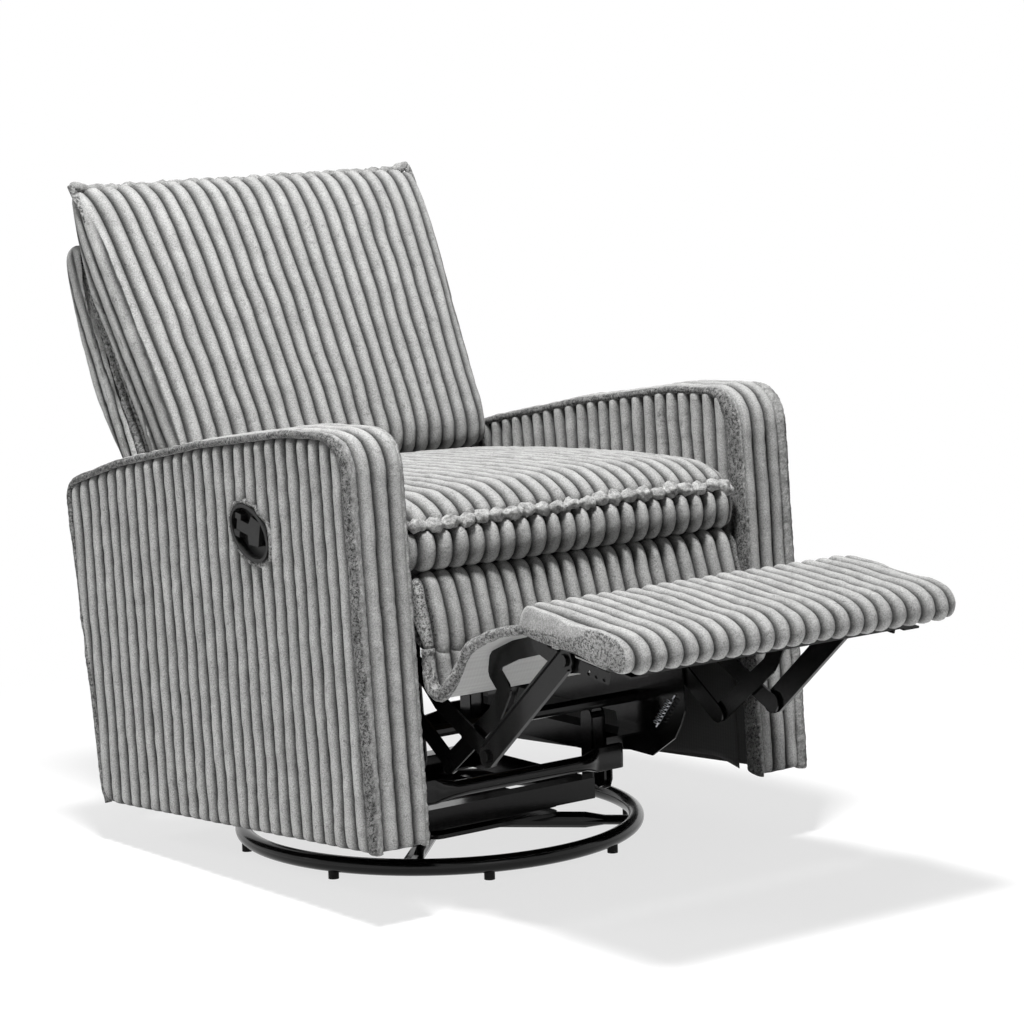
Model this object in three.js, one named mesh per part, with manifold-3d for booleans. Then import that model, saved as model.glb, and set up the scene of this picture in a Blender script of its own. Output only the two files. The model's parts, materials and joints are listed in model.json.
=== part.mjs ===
// Swivel glider recliner in wide-wale corduroy, with its footrest out.
// Millimetres, +Z up, sitter facing -Y, release paddle on the -X arm.
// The body of the chair is drawn level, in its own y and z, and pitched back as a whole.
// A value or table whose name ends in SHARE or Share holds parts of the sizes that it follows.

import * as THREE from "three";
import { mergeVertices } from "three/addons/utils/BufferGeometryUtils.js";
import Module from "manifold-3d";

const wasm = await Module();
wasm.setup();

// Whole chair
const PITCH = THREE.MathUtils.degToRad(3.5); // the body leans back on its glider base
const SWIVEL_Y = 143.3; // the swivel axis, behind the middle of the chair's box
const GAP = 0.3; // between neighbours that touch
const PIN_GAP = 0.4; // around a pin in its eye, and between links on one pin
const SINK = 1; // how far a piece reaches into the one it is joined to, and a cut past a face
const WELD = 0.001; // points closer than this are one

// Ribs of the cloth
const RIB = { depth: 6, smallDepth: 5, drawnIn: 14 };

// Round base on the floor
const RING = { radius: 300, tube: 12.5, height: 22.5, turns: 40, sides: 8 };
const PAD = { count: 8, radius: 8, tall: 14, turn: 22.5 };
const CROSS = { flatLong: 46, flatTall: 7, flatWide: 15, inset: 2 };

// Swivel plates and glider frame
const LOWER = { wide: 236, long: 300, bottom: RING.height + RING.tube + GAP, thick: 6, corner: 16 };
const RACE = { inner: 62, outer: 92, tall: 7.3 };
const PIVOT = { radius: 9, tall: 18.7, head: 15, headTall: 3 };
const UPPER = { bottom: LOWER.bottom + LOWER.thick + RACE.tall + GAP, thick: 6.3 };
const CHANNEL = {
  half: 168.5, front: 168, deep: 30, tall: 32, bottom: UPPER.bottom + UPPER.thick + GAP, skin: 3,
};
const STANCHION = { x: CHANNEL.half - SINK / 2, thick: 3, wide: 26, foot: 14 };
const SWING = { length: 100, y: 154, low: 81, standOff: 19, thick: 4, wide: 28 };
SWING.x = STANCHION.x + STANCHION.thick + SWING.standOff;
const SWING_PIN = { radius: 5, head: 9, headThick: 2.7 };

// Seat box, which sets the width of the mechanism
const SEAT_FRAME = { half: 268, rail: 30, front: -345.7, long: 513.7, bottom: 416.4, tall: 41.3 };
SEAT_FRAME.top = SEAT_FRAME.bottom + SEAT_FRAME.tall;
SEAT_FRAME.rear = SEAT_FRAME.front + SEAT_FRAME.long;
const SPRING_WIRE = { count: 4, radius: 1.9, swing: 56, bends: 7, sides: 4, drop: 3, lap: 6, tieIn: 150 };

// Mechanism plates, one under each side rail of the seat box
const PLATE = { x: SEAT_FRAME.half - SEAT_FRAME.rail, thick: 3, setBack: 27.7, past: 62, low: 106 };
PLATE.front = SEAT_FRAME.front + PLATE.setBack;
PLATE.long = SEAT_FRAME.rear + PLATE.past - PLATE.front;
PLATE.tall = SEAT_FRAME.bottom - GAP - PLATE.low;
const PLATE_OUTLINE_SHARES = [
  [0.155, 0], [0.055, 0.1], [0.027, 0.168], [0.004, 0.242], [0.007, 0.593], [0, 0.858], [0.026, 1],
  [0.891, 1], [0.923, 1.071], [0.971, 1.077], [1, 1.013], [0.971, 0.935], [0.927, 0.626], [0.901, 0.168],
  [0.785, 0.155], [0.755, 0.258], [0.307, 0.2], [0.281, 0.019],
];
const RECLINE = { behind: 37, above: 3.6, pin: 6, head: 11, headThick: 2.7, room: 2.4 };
RECLINE.y = SEAT_FRAME.rear + RECLINE.behind;
RECLINE.z = SEAT_FRAME.bottom + RECLINE.above;
const DRIVE = { y: -192, z: 195, radius: 9.5 };
const TENSION = { from: [-297, 204], to: [-248, 152], radius: 5.2, wire: 1, curls: 7, steps: 8, sides: 5 };
const TENSION_HOOK_SHARE = 0.07; // of the spring's length, at each end
const TENSION_COIL_SHARE = 0.76;

// Carriage that the swing links carry
const RAIL = { room: 6, thick: 3, top: 153, bottom: 118, lobe: 36, half: 198 };
RAIL.x = SWING.x + SWING.thick + RAIL.room;
const TAB = { wide: 28, thick: 3, low: 104 };
const TUBE = {
  radius: 12, y: RAIL.half + 9, z: 123, half: RAIL.x - 50, end: RAIL.x - 1, taper: 28.8, flatTall: 19, flatThick: 2.5,
};
const TUBE_BOLT = { in: 12, drop: 3, radius: 7, tall: 5 };

// Footrest linkage, its pivots in the body's own y and z
const SEAT_PIVOT_A = [-289.8, 364.3];
const BEND_A = [-381, 271];
const KNEE = [-492.5, 206.3];
const FOOT_PIVOT_B = [-678.8, 352.2];
const FOOT_PIVOT_C = [-622.7, 369.7];
const BENDS_C = [[-556, 356], [-510.7, 339.5], [-506, 322], [-526.3, 299.4], [-500, 262]];
const LOW_PIVOT = [-383, 182];
const SEAT_PIVOT_E = [-230, 304];
const LINK = { wide: 27, thick: 3.5, lowThick: 3, eye: 32, room: 2.5, lowRoom: 2 };
const LAYER = { e: PLATE.x + PLATE.thick + LINK.lowRoom }; // the inner face of each link, out from the middle
LAYER.c = LAYER.e + LINK.lowThick + LINK.room;
LAYER.a = LAYER.c + LINK.thick + LINK.room;
LAYER.b = LAYER.a + LINK.thick + LINK.room;
const WIDE_LINK = { wide: 35, lip: 3, lipTall: 3, knob: 4.8 };
const LINK_PIN = { radius: 5, head: 9, headThick: 2.1, longHead: 3.7 };
const BOSS = { radius: 10, thick: LINK.room - PIN_GAP };

// Footrest
const FOOT = { rear: -613, long: 243, low: 346, tall: 81, sideRoom: 9, ribs: 22, crown: 0 };
const FOOT_SHARES = [
  [0, 0.519, 0], [0.012, 0.765, 0], [0.082, 1, 1], [0.358, 0.926, 1], [0.646, 0.778, 1], [0.885, 0.642, 1],
  [0.975, 0.469, 1], [1, 0.222, 1], [0.951, 0.012, 1], [0.86, 0, 0],
];
const BOARD = { half: LAYER.c - GAP - LINK_PIN.headThick - GAP, thick: 9 };
const BOARD_SPAN_SHARE = [0.081, 0.952]; // of the pad's underside, from its rear
const BRACKET = { rear: -600, long: 166, low: 325, tall: 53, flange: 26, thick: 3, hole: 4 };
const BRACKET_SHARES = [
  [0, 1], [0.036, 0.66], [0.241, 0.377], [0.434, 0.151], [0.602, 0.208], [0.964, 0], [1, 0.302], [0.241, 0.774],
];
const BRACKET_HOLE_SHARES = [[0.735, 0.245], [0.831, 0.189], [0.928, 0.132]];
const BRACKET_FLANGE_SHARE = 0.12; // of the board's length, bare at its rear

// Arms
const ARM = { room: 33, wide: 101, panel: 15.4, crest: 14, strip: 40, split: 418, front: -406.5, long: 772.5, low: 78, tall: 586 };
ARM.inner = SEAT_FRAME.half + ARM.room;
ARM.outer = ARM.inner + ARM.wide;
const ARM_SHARES = [[0, 0], [0.0058, 0.995], [0.203, 1], [0.5, 0.965], [0.8, 0.909], [1, 0.85], [0.946, 0]];
const ARM_ROUND = [8, 66, 300, 300, 200, 44, 34];
const ARM_PANEL = { ribs: 27, inset: 2, roll: 3, rim: 1, steepest: 5 };
const ARM_BAND_RIBS = 3;
const LINING = { thick: 1.2 };
const LINING_ARCH_SHARES = [[0.138, 0.034], [0.161, 0.0375], [0.304, 0.031], [0.565, 0.006], [0.922, 0.006]];
const LINING_FRONT_SHARE = 0.012;
const ARM_BAR = { tall: 20, long: 24 };
const ARM_BAR_SHARES = [[0, 0.922], [0.717, 0.658]]; // of the mechanism plate

// Handle in the outer face of the -X arm
const BEZEL = { behind: 258.5, drop: 149, long: 104, wide: 72, tilt: 33, deep: 28, wall: 5, sides: 28 };
BEZEL.y = ARM.front + BEZEL.behind;
BEZEL.z = ARM.low + ARM.tall - BEZEL.drop;
const PADDLE = {
  ahead: 32, above: 12, tilt: 14, inset: 2, thick: 8, room: 2, stem: 16, stemLong: 29, neckLong: 34, neckWide: 42,
  long: 58, tipWide: 34, pinAt: 4, pin: 2, ear: 9, earFrom: -4, earTo: 10, earDeep: 2,
};
const FINGER_WELL = { from: 26, to: 78, wide: 34, deep: 24 };

// Cushions of the seat
const SEAT = { ahead: 45.3, behind: 35, tall: 101, sideRoom: 5, ribs: 22, crown: 12 };
const SEAT_SHARES = [
  [0.039, 0, 0], [0.017, 0.099, 1], [0.007, 0.297, 1], [0.019, 0.495, 1], [0, 0.594, 0], [0, 0.653, 0],
  [0.029, 0.733, 1], [0.086, 0.891, 1], [0.322, 0.98, 1], [0.759, 1, 1], [0.97, 0.921, 1], [1, 0.614, 0],
  [0.993, 0, 0],
];
const APRON = { deep: 71, tall: 119, drop: 2.7, sideRoom: 9, ribs: 22, crown: 0 };
const APRON_SHARES = [
  [0, 1, 0], [0.451, 0.992, 0], [0.676, 0.908, 1], [0.873, 0.664, 1], [0.986, 0.37, 1], [1, 0.134, 1],
  [0.93, 0.008, 1], [0.831, 0, 0], [0.056, 0.252, 0],
];
const FLAP = { sideRoom: 17, thick: 3 };
const FLAP_TOP_SHARE = 1 / 3; // along the apron's lower edge, from its front
const FLAP_SAG_SHARES = [[0.069, -1.028], [0.207, -0.854], [0.385, 0.2], [0.6, 0.64], [0.8, 0.89]];

// Back, drawn along its own lean: s up the back, t to the rear
const BACK = { behind: 61, z: 600, lean: THREE.MathUtils.degToRad(24.3) };
BACK.y = SEAT_FRAME.rear + BACK.behind;
const BACK_PANEL = { half: SEAT_FRAME.half, low: -118, high: 376, front: 54, thick: 16 };
BACK_PANEL.rear = BACK_PANEL.front + BACK_PANEL.thick;
const BACK_CUSHION = { low: -38, long: 504, thick: 91.7, half: ARM.inner - 4, topHalf: ARM.inner + 15, ribs: 22, crown: 16, widenFrom: 98, widenOver: 60 };
const BACK_CUSHION_SHARES = [
  [0.008, 1, 0], [0, 0.523, 0], [0.02, 0.153, 1], [0.115, 0.022, 1], [0.452, 0, 1], [0.79, 0.055, 1],
  [0.925, 0.174, 1], [0.972, 0.349, 1], [1, 0.371, 0], [1, 0.458, 0], [0.869, 0.894, 0], [0.75, 1, 0], [0.31, 1, 0],
];
const COVER = { low: -116, long: 520, thick: 73.7, half: ARM.inner - 4, lap: 12.3, ribs: 22, crown: 0 };
const COVER_SHARES = [
  [0, 0, 0], [0.008, 0.294, 1], [0.315, 0.701, 1], [0.504, 1, 1], [0.76, 0.864, 1], [0.988, 0.498, 1], [1, 0.186, 0],
  [0.977, -0.14, 0],
];
const RECLINE_ARM = { thick: 4, wide: 30, top: -62, depth: 64 };
RECLINE_ARM.x = PLATE.x + PLATE.thick + RECLINE.room;

const CLOTH = 0x8f8f8e;
const BLACK = 0x17181a;
const WOOD = 0xb08d5e;
const STEEL = 0xb9bcc0;

// Points and outlines

// A point given as shares of a box of the side view: along it from its front, and up it.
function inBox([along, up], { front, long, low, tall }) {
  return [front + along * long, low + up * tall];
}

function lerp([y0, z0], [y1, z1], share) {
  return [y0 + (y1 - y0) * share, z0 + (z1 - z0) * share];
}

function rounded(points, radii, steps = 3) {
  const out = [];
  points.forEach((point, i) => {
    const p = new THREE.Vector2(...point);
    const before = new THREE.Vector2(...points[(i + points.length - 1) % points.length]).sub(p);
    const after = new THREE.Vector2(...points[(i + 1) % points.length]).sub(p);
    const cosine = before.clone().normalize().dot(after.clone().normalize());
    const half = Math.acos(THREE.MathUtils.clamp(cosine, -1, 1)) / 2;
    const reach = Math.min(radii[i] / Math.tan(half), before.length() / 2.1, after.length() / 2.1);
    const from = p.clone().add(before.normalize().multiplyScalar(reach));
    const to = p.clone().add(after.normalize().multiplyScalar(reach));
    for (let k = 0; k <= steps; k += 1) {
      const t = k / steps;
      const near = from.clone().lerp(p, t);
      out.push(near.lerp(p.clone().lerp(to, t), t).toArray());
    }
  });
  return out;
}

function inset(outline, distance) {
  const count = outline.length;
  let area = 0;
  outline.forEach(([y, z], i) => {
    const [y1, z1] = outline[(i + 1) % count];
    area += y * z1 - y1 * z;
  });
  const side = Math.sign(area) * distance;
  return outline.map((point, i) => {
    const p = new THREE.Vector2(...point);
    const a = p.clone().sub(new THREE.Vector2(...outline[(i + count - 1) % count])).normalize();
    const b = new THREE.Vector2(...outline[(i + 1) % count]).sub(p).normalize();
    const normal = new THREE.Vector2(-a.y - b.y, a.x + b.x).normalize();
    const stretch = Math.max(0.5, normal.dot(new THREE.Vector2(-a.y, a.x)));
    return p.add(normal.multiplyScalar(side / stretch)).toArray();
  });
}

function spanAt(outline, y) {
  const hits = [];
  outline.forEach(([y0, z0], i) => {
    const [y1, z1] = outline[(i + 1) % outline.length];
    if ((y0 <= y && y < y1) || (y1 <= y && y < y0)) hits.push(z0 + ((y - y0) / (y1 - y0)) * (z1 - z0));
  });
  return [Math.min(...hits), Math.max(...hits)];
}

function stadium([y0, z0], [y1, z1], wide, steps = 4) {
  const turn = Math.atan2(z1 - z0, y1 - y0);
  const halfDisc = ([y, z], start) => Array.from({ length: steps + 1 }, (_, k) => {
    const a = start + (Math.PI * k) / steps;
    return [y + (wide / 2) * Math.cos(a), z + (wide / 2) * Math.sin(a)];
  });
  return [...halfDisc([y0, z0], turn + Math.PI / 2), ...halfDisc([y1, z1], turn - Math.PI / 2)];
}

function disc([y, z], radius, sides = 10) {
  return Array.from({ length: sides }, (_, k) => {
    const a = (2 * Math.PI * (k + 0.5)) / sides;
    return [y + radius * Math.cos(a), z + radius * Math.sin(a)];
  });
}

// Solids

function toSolid(geometry) {
  const merged = mergeVertices(stripped(geometry), WELD);
  return new wasm.Manifold(new wasm.Mesh({
    numProp: 3,
    vertProperties: new Float32Array(merged.getAttribute("position").array),
    triVerts: new Uint32Array(merged.index.array),
  }));
}

function toGeometry(solid) {
  const mesh = solid.getMesh();
  const geometry = new THREE.BufferGeometry();
  const points = new Float32Array(mesh.numVert * 3);
  for (let i = 0; i < mesh.numVert; i += 1) {
    for (let k = 0; k < 3; k += 1) points[3 * i + k] = mesh.vertProperties[mesh.numProp * i + k];
  }
  geometry.setAttribute("position", new THREE.BufferAttribute(points, 3));
  geometry.setIndex(Array.from(mesh.triVerts));
  return geometry;
}

function stripped(geometry) {
  const bare = new THREE.BufferGeometry();
  bare.setAttribute("position", geometry.getAttribute("position").clone());
  if (geometry.index) bare.setIndex(Array.from(geometry.index.array));
  return bare;
}

function join(...geometries) {
  return toGeometry(geometries.map(toSolid).reduce((whole, piece) => whole.add(piece)));
}

function cut(geometry, ...tools) {
  return toGeometry(tools.map(toSolid).reduce((whole, tool) => whole.subtract(tool), toSolid(geometry)));
}

function common(a, b) {
  return toGeometry(toSolid(a).intersect(toSolid(b)));
}

function box([x0, x1], [y0, y1], [z0, z1]) {
  const geometry = new THREE.BoxGeometry(Math.abs(x1 - x0), Math.abs(y1 - y0), Math.abs(z1 - z0));
  return geometry.translate((x0 + x1) / 2, (y0 + y1) / 2, (z0 + z1) / 2);
}

function prism(outline, x0, x1) {
  const shape = new THREE.Shape(outline.map(([y, z]) => new THREE.Vector2(y, z)));
  const depth = Math.abs(x1 - x0);
  const geometry = new THREE.ExtrudeGeometry(shape, { depth, bevelEnabled: false });
  const toYZ = new THREE.Matrix4().makeBasis(
    new THREE.Vector3(0, 1, 0), new THREE.Vector3(0, 0, 1), new THREE.Vector3(1, 0, 0));
  return geometry.applyMatrix4(toYZ).translate(Math.min(x0, x1), 0, 0);
}

function slab(outline, z0, z1) {
  const shape = new THREE.Shape(outline.map(([x, y]) => new THREE.Vector2(x, y)));
  return new THREE.ExtrudeGeometry(shape, { depth: z1 - z0, bevelEnabled: false }).translate(0, 0, z0);
}

function rod(from, to, radius, sides = 12) {
  const a = new THREE.Vector3(...from);
  const b = new THREE.Vector3(...to);
  const geometry = new THREE.CylinderGeometry(radius, radius, a.distanceTo(b), sides);
  const along = b.clone().sub(a).normalize();
  geometry.applyQuaternion(new THREE.Quaternion().setFromUnitVectors(new THREE.Vector3(0, 1, 0), along));
  return geometry.translate(...a.add(b).multiplyScalar(0.5).toArray());
}

function pinX(x0, x1, [y, z], radius, sides = 10) {
  return rod([x0, y, z], [x1, y, z], radius, sides);
}

// A closed body through equal rings of points, with a flat face on each end.
function loft(rings) {
  const count = rings[0].length;
  const faces = [];
  for (let r = 0; r + 1 < rings.length; r += 1) {
    for (let i = 0; i < count; i += 1) {
      const a = r * count + i;
      const b = r * count + ((i + 1) % count);
      faces.push(a, b, a + count, b, b + count, a + count);
    }
  }
  const cap = (ring, start, flip) => {
    const flat = ring.map((p) => new THREE.Vector3(...p));
    const u = flat[1].clone().sub(flat[0]).normalize();
    const normal = new THREE.Vector3();
    flat.forEach((p, i) => normal.add(p.clone().cross(flat[(i + 1) % count])));
    normal.normalize();
    const v = normal.clone().cross(u);
    const outline = flat.map((p) => new THREE.Vector2(p.dot(u), p.dot(v)));
    for (const [a, b, c] of THREE.ShapeUtils.triangulateShape(outline, [])) {
      faces.push(start + a, start + (flip ? c : b), start + (flip ? b : c));
    }
  };
  cap(rings[0], 0, true);
  cap(rings[rings.length - 1], (rings.length - 1) * count, false);
  const geometry = new THREE.BufferGeometry();
  geometry.setAttribute("position", new THREE.BufferAttribute(new Float32Array(rings.flat(2)), 3));
  geometry.setIndex(faces);
  return outward(geometry);
}

function outward(geometry) {
  const p = geometry.getAttribute("position");
  const index = geometry.index.array;
  const at = (i) => new THREE.Vector3().fromBufferAttribute(p, index[i]);
  let volume = 0;
  for (let i = 0; i < index.length; i += 3) volume += at(i).dot(at(i + 1).cross(at(i + 2)));
  if (volume < 0) {
    for (let i = 0; i < index.length; i += 3) [index[i], index[i + 1]] = [index[i + 1], index[i]];
  }
  return geometry;
}

// A tube along X, pressed to a flat oval towards both ends, where its middle is moved aside.
function flattenedTube({ half, round, flat, radius, flatTall, flatDeep, aside = 0, sides = 12 }) {
  const stations = [[-half, 1], [-flat, 1], [-round, 0], [round, 0], [flat, 1], [half, 1]];
  return loft(stations.map(([x, pressed]) => Array.from({ length: sides }, (_, k) => {
    const a = (2 * Math.PI * k) / sides;
    const deep = radius + (flatDeep - radius) * pressed;
    const tall = radius + (flatTall - radius) * pressed;
    return [x, aside * pressed + deep * Math.cos(a), tall * Math.sin(a)];
  })));
}

// A round wire along points, as one closed body.
function wire(points, radius, sides) {
  const up = new THREE.Vector3(0, 0, 1);
  const path = points.map((p) => new THREE.Vector3(...p));
  return loft(path.map((p, i) => {
    const along = path[Math.min(i + 1, path.length - 1)].clone().sub(path[Math.max(i - 1, 0)]).normalize();
    const u = up.clone().cross(along).normalize();
    return around(p, u, along.clone().cross(u).normalize(), radius, sides);
  }));
}

function around(p, u, v, radius, sides) {
  return Array.from({ length: sides }, (_, k) => {
    const a = (2 * Math.PI * k) / sides;
    return p.clone().addScaledVector(u, radius * Math.cos(a)).addScaledVector(v, radius * Math.sin(a)).toArray();
  });
}

// Stations across ribbed cloth: how far along, and the rib's height there, from 0 in a groove to 1 on a crest.
function ribStations(from, to, ribs) {
  const pitch = (to - from) / ribs;
  const stations = [];
  for (let r = 0; r < ribs; r += 1) stations.push([from + pitch * r, 0], [from + pitch * (r + 0.5), 1]);
  stations.push([to, 0]);
  return stations;
}

// A cushion as a row of ribs: its side profile, crowned in the middle and drawn in at both ends.
function ribbedCushion({ half, ribs, crown }, profile, widen = () => 1) {
  const outline = profile.map(([y, z]) => [y, z]);
  const low = inset(outline, RIB.depth);
  const centre = new THREE.Vector2();
  outline.forEach(([y, z]) => centre.add(new THREE.Vector2(y, z).divideScalar(outline.length)));
  return loft(ribStations(-half, half, ribs).map(([x, height]) => {
    const edge = Math.abs(x) / half;
    const swell = crown * Math.sqrt(Math.max(0, 1 - edge ** 2.4));
    const drawn = RIB.drawnIn * Math.max(0, (edge - 0.93) / 0.07) ** 2;
    return outline.map((point, i) => {
      const ribbed = profile[i][2];
      const top = new THREE.Vector2(...point);
      const out = top.clone().sub(new THREE.Vector2(...low[i]));
      const p = top.addScaledVector(out, ribbed * (height - 1));
      if (ribbed) p.add(out.normalize().multiplyScalar(swell));
      const inward = centre.clone().sub(p);
      const pull = Math.min(drawn, inward.length() * 0.4);
      p.add(inward.normalize().multiplyScalar(pull));
      return [x * widen(p.y), p.x, p.y];
    });
  }));
}

// Base on the floor

function ring(grow = 0) {
  const { radius, tube, height, sides, turns } = RING;
  return new THREE.TorusGeometry(radius, tube + grow, sides, turns).translate(0, 0, height);
}

function baseCross() {
  const { radius, tube, height } = RING;
  const { flatLong, flatTall, flatWide, inset: short } = CROSS;
  const flat = radius - flatLong;
  const bar = (turn) => flattenedTube({
    half: radius - short, flat, round: flat - tube * 2.4, radius: tube, flatTall, flatDeep: flatWide,
  }).rotateZ(turn).translate(0, 0, height);
  return cut(join(bar(Math.PI / 4), bar(-Math.PI / 4)), ring(GAP));
}

function footPad(turn) {
  const knob = rod([0, 0, 0], [0, 0, PAD.tall], PAD.radius, 16).rotateZ(turn);
  return cut(knob.translate(RING.radius * Math.cos(turn), RING.radius * Math.sin(turn), 0), ring(GAP));
}

function plateOutline() {
  const x = LOWER.wide / 2;
  const y = LOWER.long / 2;
  return rounded([[-x, -y], [x, -y], [x, y], [-x, y]], Array(4).fill(LOWER.corner));
}

function swivelLowerPlate() {
  const top = LOWER.bottom + LOWER.thick;
  const plate = slab(plateOutline(), LOWER.bottom, top);
  const race = cut(rod([0, 0, top - SINK], [0, 0, top + RACE.tall], RACE.outer, 32),
    rod([0, 0, top], [0, 0, top + RACE.tall + SINK], RACE.inner, 24));
  const postTop = top + PIVOT.tall;
  const post = rod([0, 0, top - SINK], [0, 0, postTop], PIVOT.radius, 24);
  const head = rod([0, 0, postTop - SINK], [0, 0, postTop + PIVOT.headTall], PIVOT.head, 24);
  return join(plate, race, post, head);
}

function swivelUpperPlate() {
  const top = UPPER.bottom + UPPER.thick;
  const plate = slab(plateOutline(), UPPER.bottom, top);
  return cut(plate, rod([0, 0, UPPER.bottom - SINK], [0, 0, top + SINK], PIVOT.radius + PIN_GAP, 24));
}

function swivelFrame() {
  const { half, front, deep, tall, bottom, skin } = CHANNEL;
  const top = bottom + tall;
  const channel = (side) => cut(
    box([-half, half], [side * front, side * (front - deep)], [bottom, top]),
    box([-half - SINK, half + SINK], [side * (front - skin), side * (front - deep - SINK)], [bottom + skin, top - skin]));
  const pivotZ = SWING.low + SWING.length;
  const stanchion = (side) => {
    const x = [side * STANCHION.x, side * (STANCHION.x + STANCHION.thick)];
    const pieces = [prism([[-front, bottom], [front, bottom], [front, top], [-front, top]], ...x)];
    for (const end of [-1, 1]) {
      const y = end * SWING.y;
      const face = SWING.x + SWING.thick;
      pieces.push(prism(stadium([y, bottom + STANCHION.foot], [y, pivotZ], STANCHION.wide), ...x));
      pieces.push(pinX(side * (STANCHION.x + SINK), side * (face + SINK), [y, pivotZ], SWING_PIN.radius));
      pieces.push(pinX(side * (face + GAP), side * (face + GAP + SWING_PIN.headThick), [y, pivotZ], SWING_PIN.head));
    }
    return join(...pieces);
  };
  return join(channel(-1), channel(1), stanchion(-1), stanchion(1));
}

function swingLink(side, end) {
  const { low, length, y, x, thick, wide } = SWING;
  const centre = end * y;
  const bar = prism(stadium([centre, low], [centre, low + length], wide), side * x, side * (x + thick));
  return cut(bar, pinX(side * (x - SINK), side * (x + thick + SINK), [centre, low + length], SWING_PIN.radius + PIN_GAP));
}

// Carriage

function carriageRail(side) {
  const { x, thick, top, bottom, lobe, half } = RAIL;
  const at = [side * x, side * (x + thick)];
  const flange = PLATE.x - GAP;
  const pieces = [prism([[-half, bottom], [half, bottom], [half, top], [-half, top]], ...at)];
  pieces.push(box([side * x, side * flange], [-half, half], [top - thick, top]));
  for (const end of [-1, 1]) {
    const low = [end * SWING.y, SWING.low];
    const high = [end * SWING.y, top - lobe / 2];
    pieces.push(prism(stadium(low, high, lobe), ...at));
    pieces.push(pinX(side * (SWING.x + SWING.thick + GAP), side * (x + SINK), low, BOSS.radius));
    pieces.push(pinX(side * (x + SINK), side * (x + thick + LINK_PIN.headThick), low, SWING_PIN.head, 6));
    const tabX = [side * (x - TAB.wide), side * (x + thick)];
    pieces.push(box(tabX, [end * half, end * (half - TAB.thick)], [TAB.low, top]));
  }
  return join(...pieces);
}

function crossTube(end) {
  const { radius, y, z, half, end: tubeEnd, taper, flatTall, flatThick } = TUBE;
  const flatY = RAIL.half + GAP + flatThick;
  const tube = flattenedTube({
    half: tubeEnd, flat: half, round: half - taper, radius, flatTall, flatDeep: flatThick, aside: end * (flatY - y),
  }).translate(0, end * y, z);
  const bolts = [-1, 1].map((side) => {
    const x = side * (RAIL.x - TUBE_BOLT.in);
    const boltZ = z - TUBE_BOLT.drop;
    const from = end * flatY;
    return rod([x, from, boltZ], [x, from + end * (flatThick + TUBE_BOLT.tall), boltZ], TUBE_BOLT.radius, 6);
  });
  return join(tube, ...bolts);
}

// Footrest linkage

function bar(points, wide, x0, x1) {
  return points.slice(1).map((point, i) => prism(stadium(points[i], point, wide), x0, x1));
}

function eyeAt(centre, x0, x1) {
  const over = Math.sign(x1) * SINK;
  return pinX(x0 - over, x1 + over, centre, LINK_PIN.radius + PIN_GAP);
}

function span(side, from, thick) {
  return [side * from, side * (from + thick)];
}

// A disc raised from a link's outer face.
function raised(side, x1, centre, radius, thick) {
  return pinX(x1 - side * SINK, x1 + side * thick, centre, radius);
}

function rearKneeLink(side) {
  const [x0, x1] = span(side, LAYER.a, LINK.thick);
  const eyes = [SEAT_PIVOT_A, KNEE].map((centre) => prism(disc(centre, LINK.eye / 2), x0, x1));
  const body = join(...bar([SEAT_PIVOT_A, BEND_A, KNEE], LINK.wide, x0, x1), ...eyes,
    raised(side, x1, KNEE, BOSS.radius, BOSS.thick));
  return cut(body, eyeAt(SEAT_PIVOT_A, x0, x1));
}

function frontKneeLink(side) {
  const [x0, x1] = span(side, LAYER.b, LINK.thick);
  const { wide, lip, lipTall, knob } = WIDE_LINK;
  const web = prism(stadium(KNEE, FOOT_PIVOT_B, wide), x0, x1);
  const turn = Math.atan2(FOOT_PIVOT_B[1] - KNEE[1], FOOT_PIVOT_B[0] - KNEE[0]);
  const lips = [-1, 1].map((edge) => {
    const off = (edge * (wide - lip)) / 2;
    const shift = ([y, z]) => [y - off * Math.sin(turn), z + off * Math.cos(turn)];
    return prism(stadium(shift(KNEE), shift(FOOT_PIVOT_B), lip, 1), x1 - side * SINK, x1 + side * lipTall);
  });
  const body = join(web, raised(side, x1, KNEE, LINK_PIN.head, knob), ...lips);
  return cut(body, eyeAt(FOOT_PIVOT_B, x0, x1));
}

function curvedLink(side) {
  const [x0, x1] = span(side, LAYER.c, LINK.thick);
  const body = join(...bar([FOOT_PIVOT_C, ...BENDS_C, LOW_PIVOT], LINK.wide, x0, x1),
    raised(side, x1, LOW_PIVOT, LINK_PIN.head, BOSS.thick));
  return cut(body, eyeAt(FOOT_PIVOT_C, x0, x1));
}

function lowerLink(side) {
  const [x0, x1] = span(side, LAYER.e, LINK.lowThick);
  const body = join(prism(stadium(SEAT_PIVOT_E, LOW_PIVOT, LINK.wide), x0, x1),
    raised(side, x1, LOW_PIVOT, LINK_PIN.head, BOSS.thick));
  return cut(body, eyeAt(SEAT_PIVOT_E, x0, x1));
}

// Footrest

const footBox = { front: FOOT.rear, long: -FOOT.long, low: FOOT.low, tall: FOOT.tall };
const footProfile = FOOT_SHARES.map(([along, up, ribbed]) => [...inBox([along, up], footBox), ribbed]);
const underRear = footProfile[0];
const underFront = footProfile[footProfile.length - 1];

// The pad's flat underside between two shares of its length, moved down along its normal.
function underside(off, shares = BOARD_SPAN_SHARE) {
  const turn = Math.atan2(underRear[1] - underFront[1], underRear[0] - underFront[0]);
  return shares.map((share) => {
    const [y, z] = lerp(underRear, underFront, share);
    return [y + off * Math.sin(turn), z - off * Math.cos(turn)];
  });
}

function layer(from, to, shares) {
  const [rear, front] = underside(from, shares);
  const [rearLow, frontLow] = underside(to, shares);
  return [rear, front, frontLow, rearLow];
}

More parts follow.
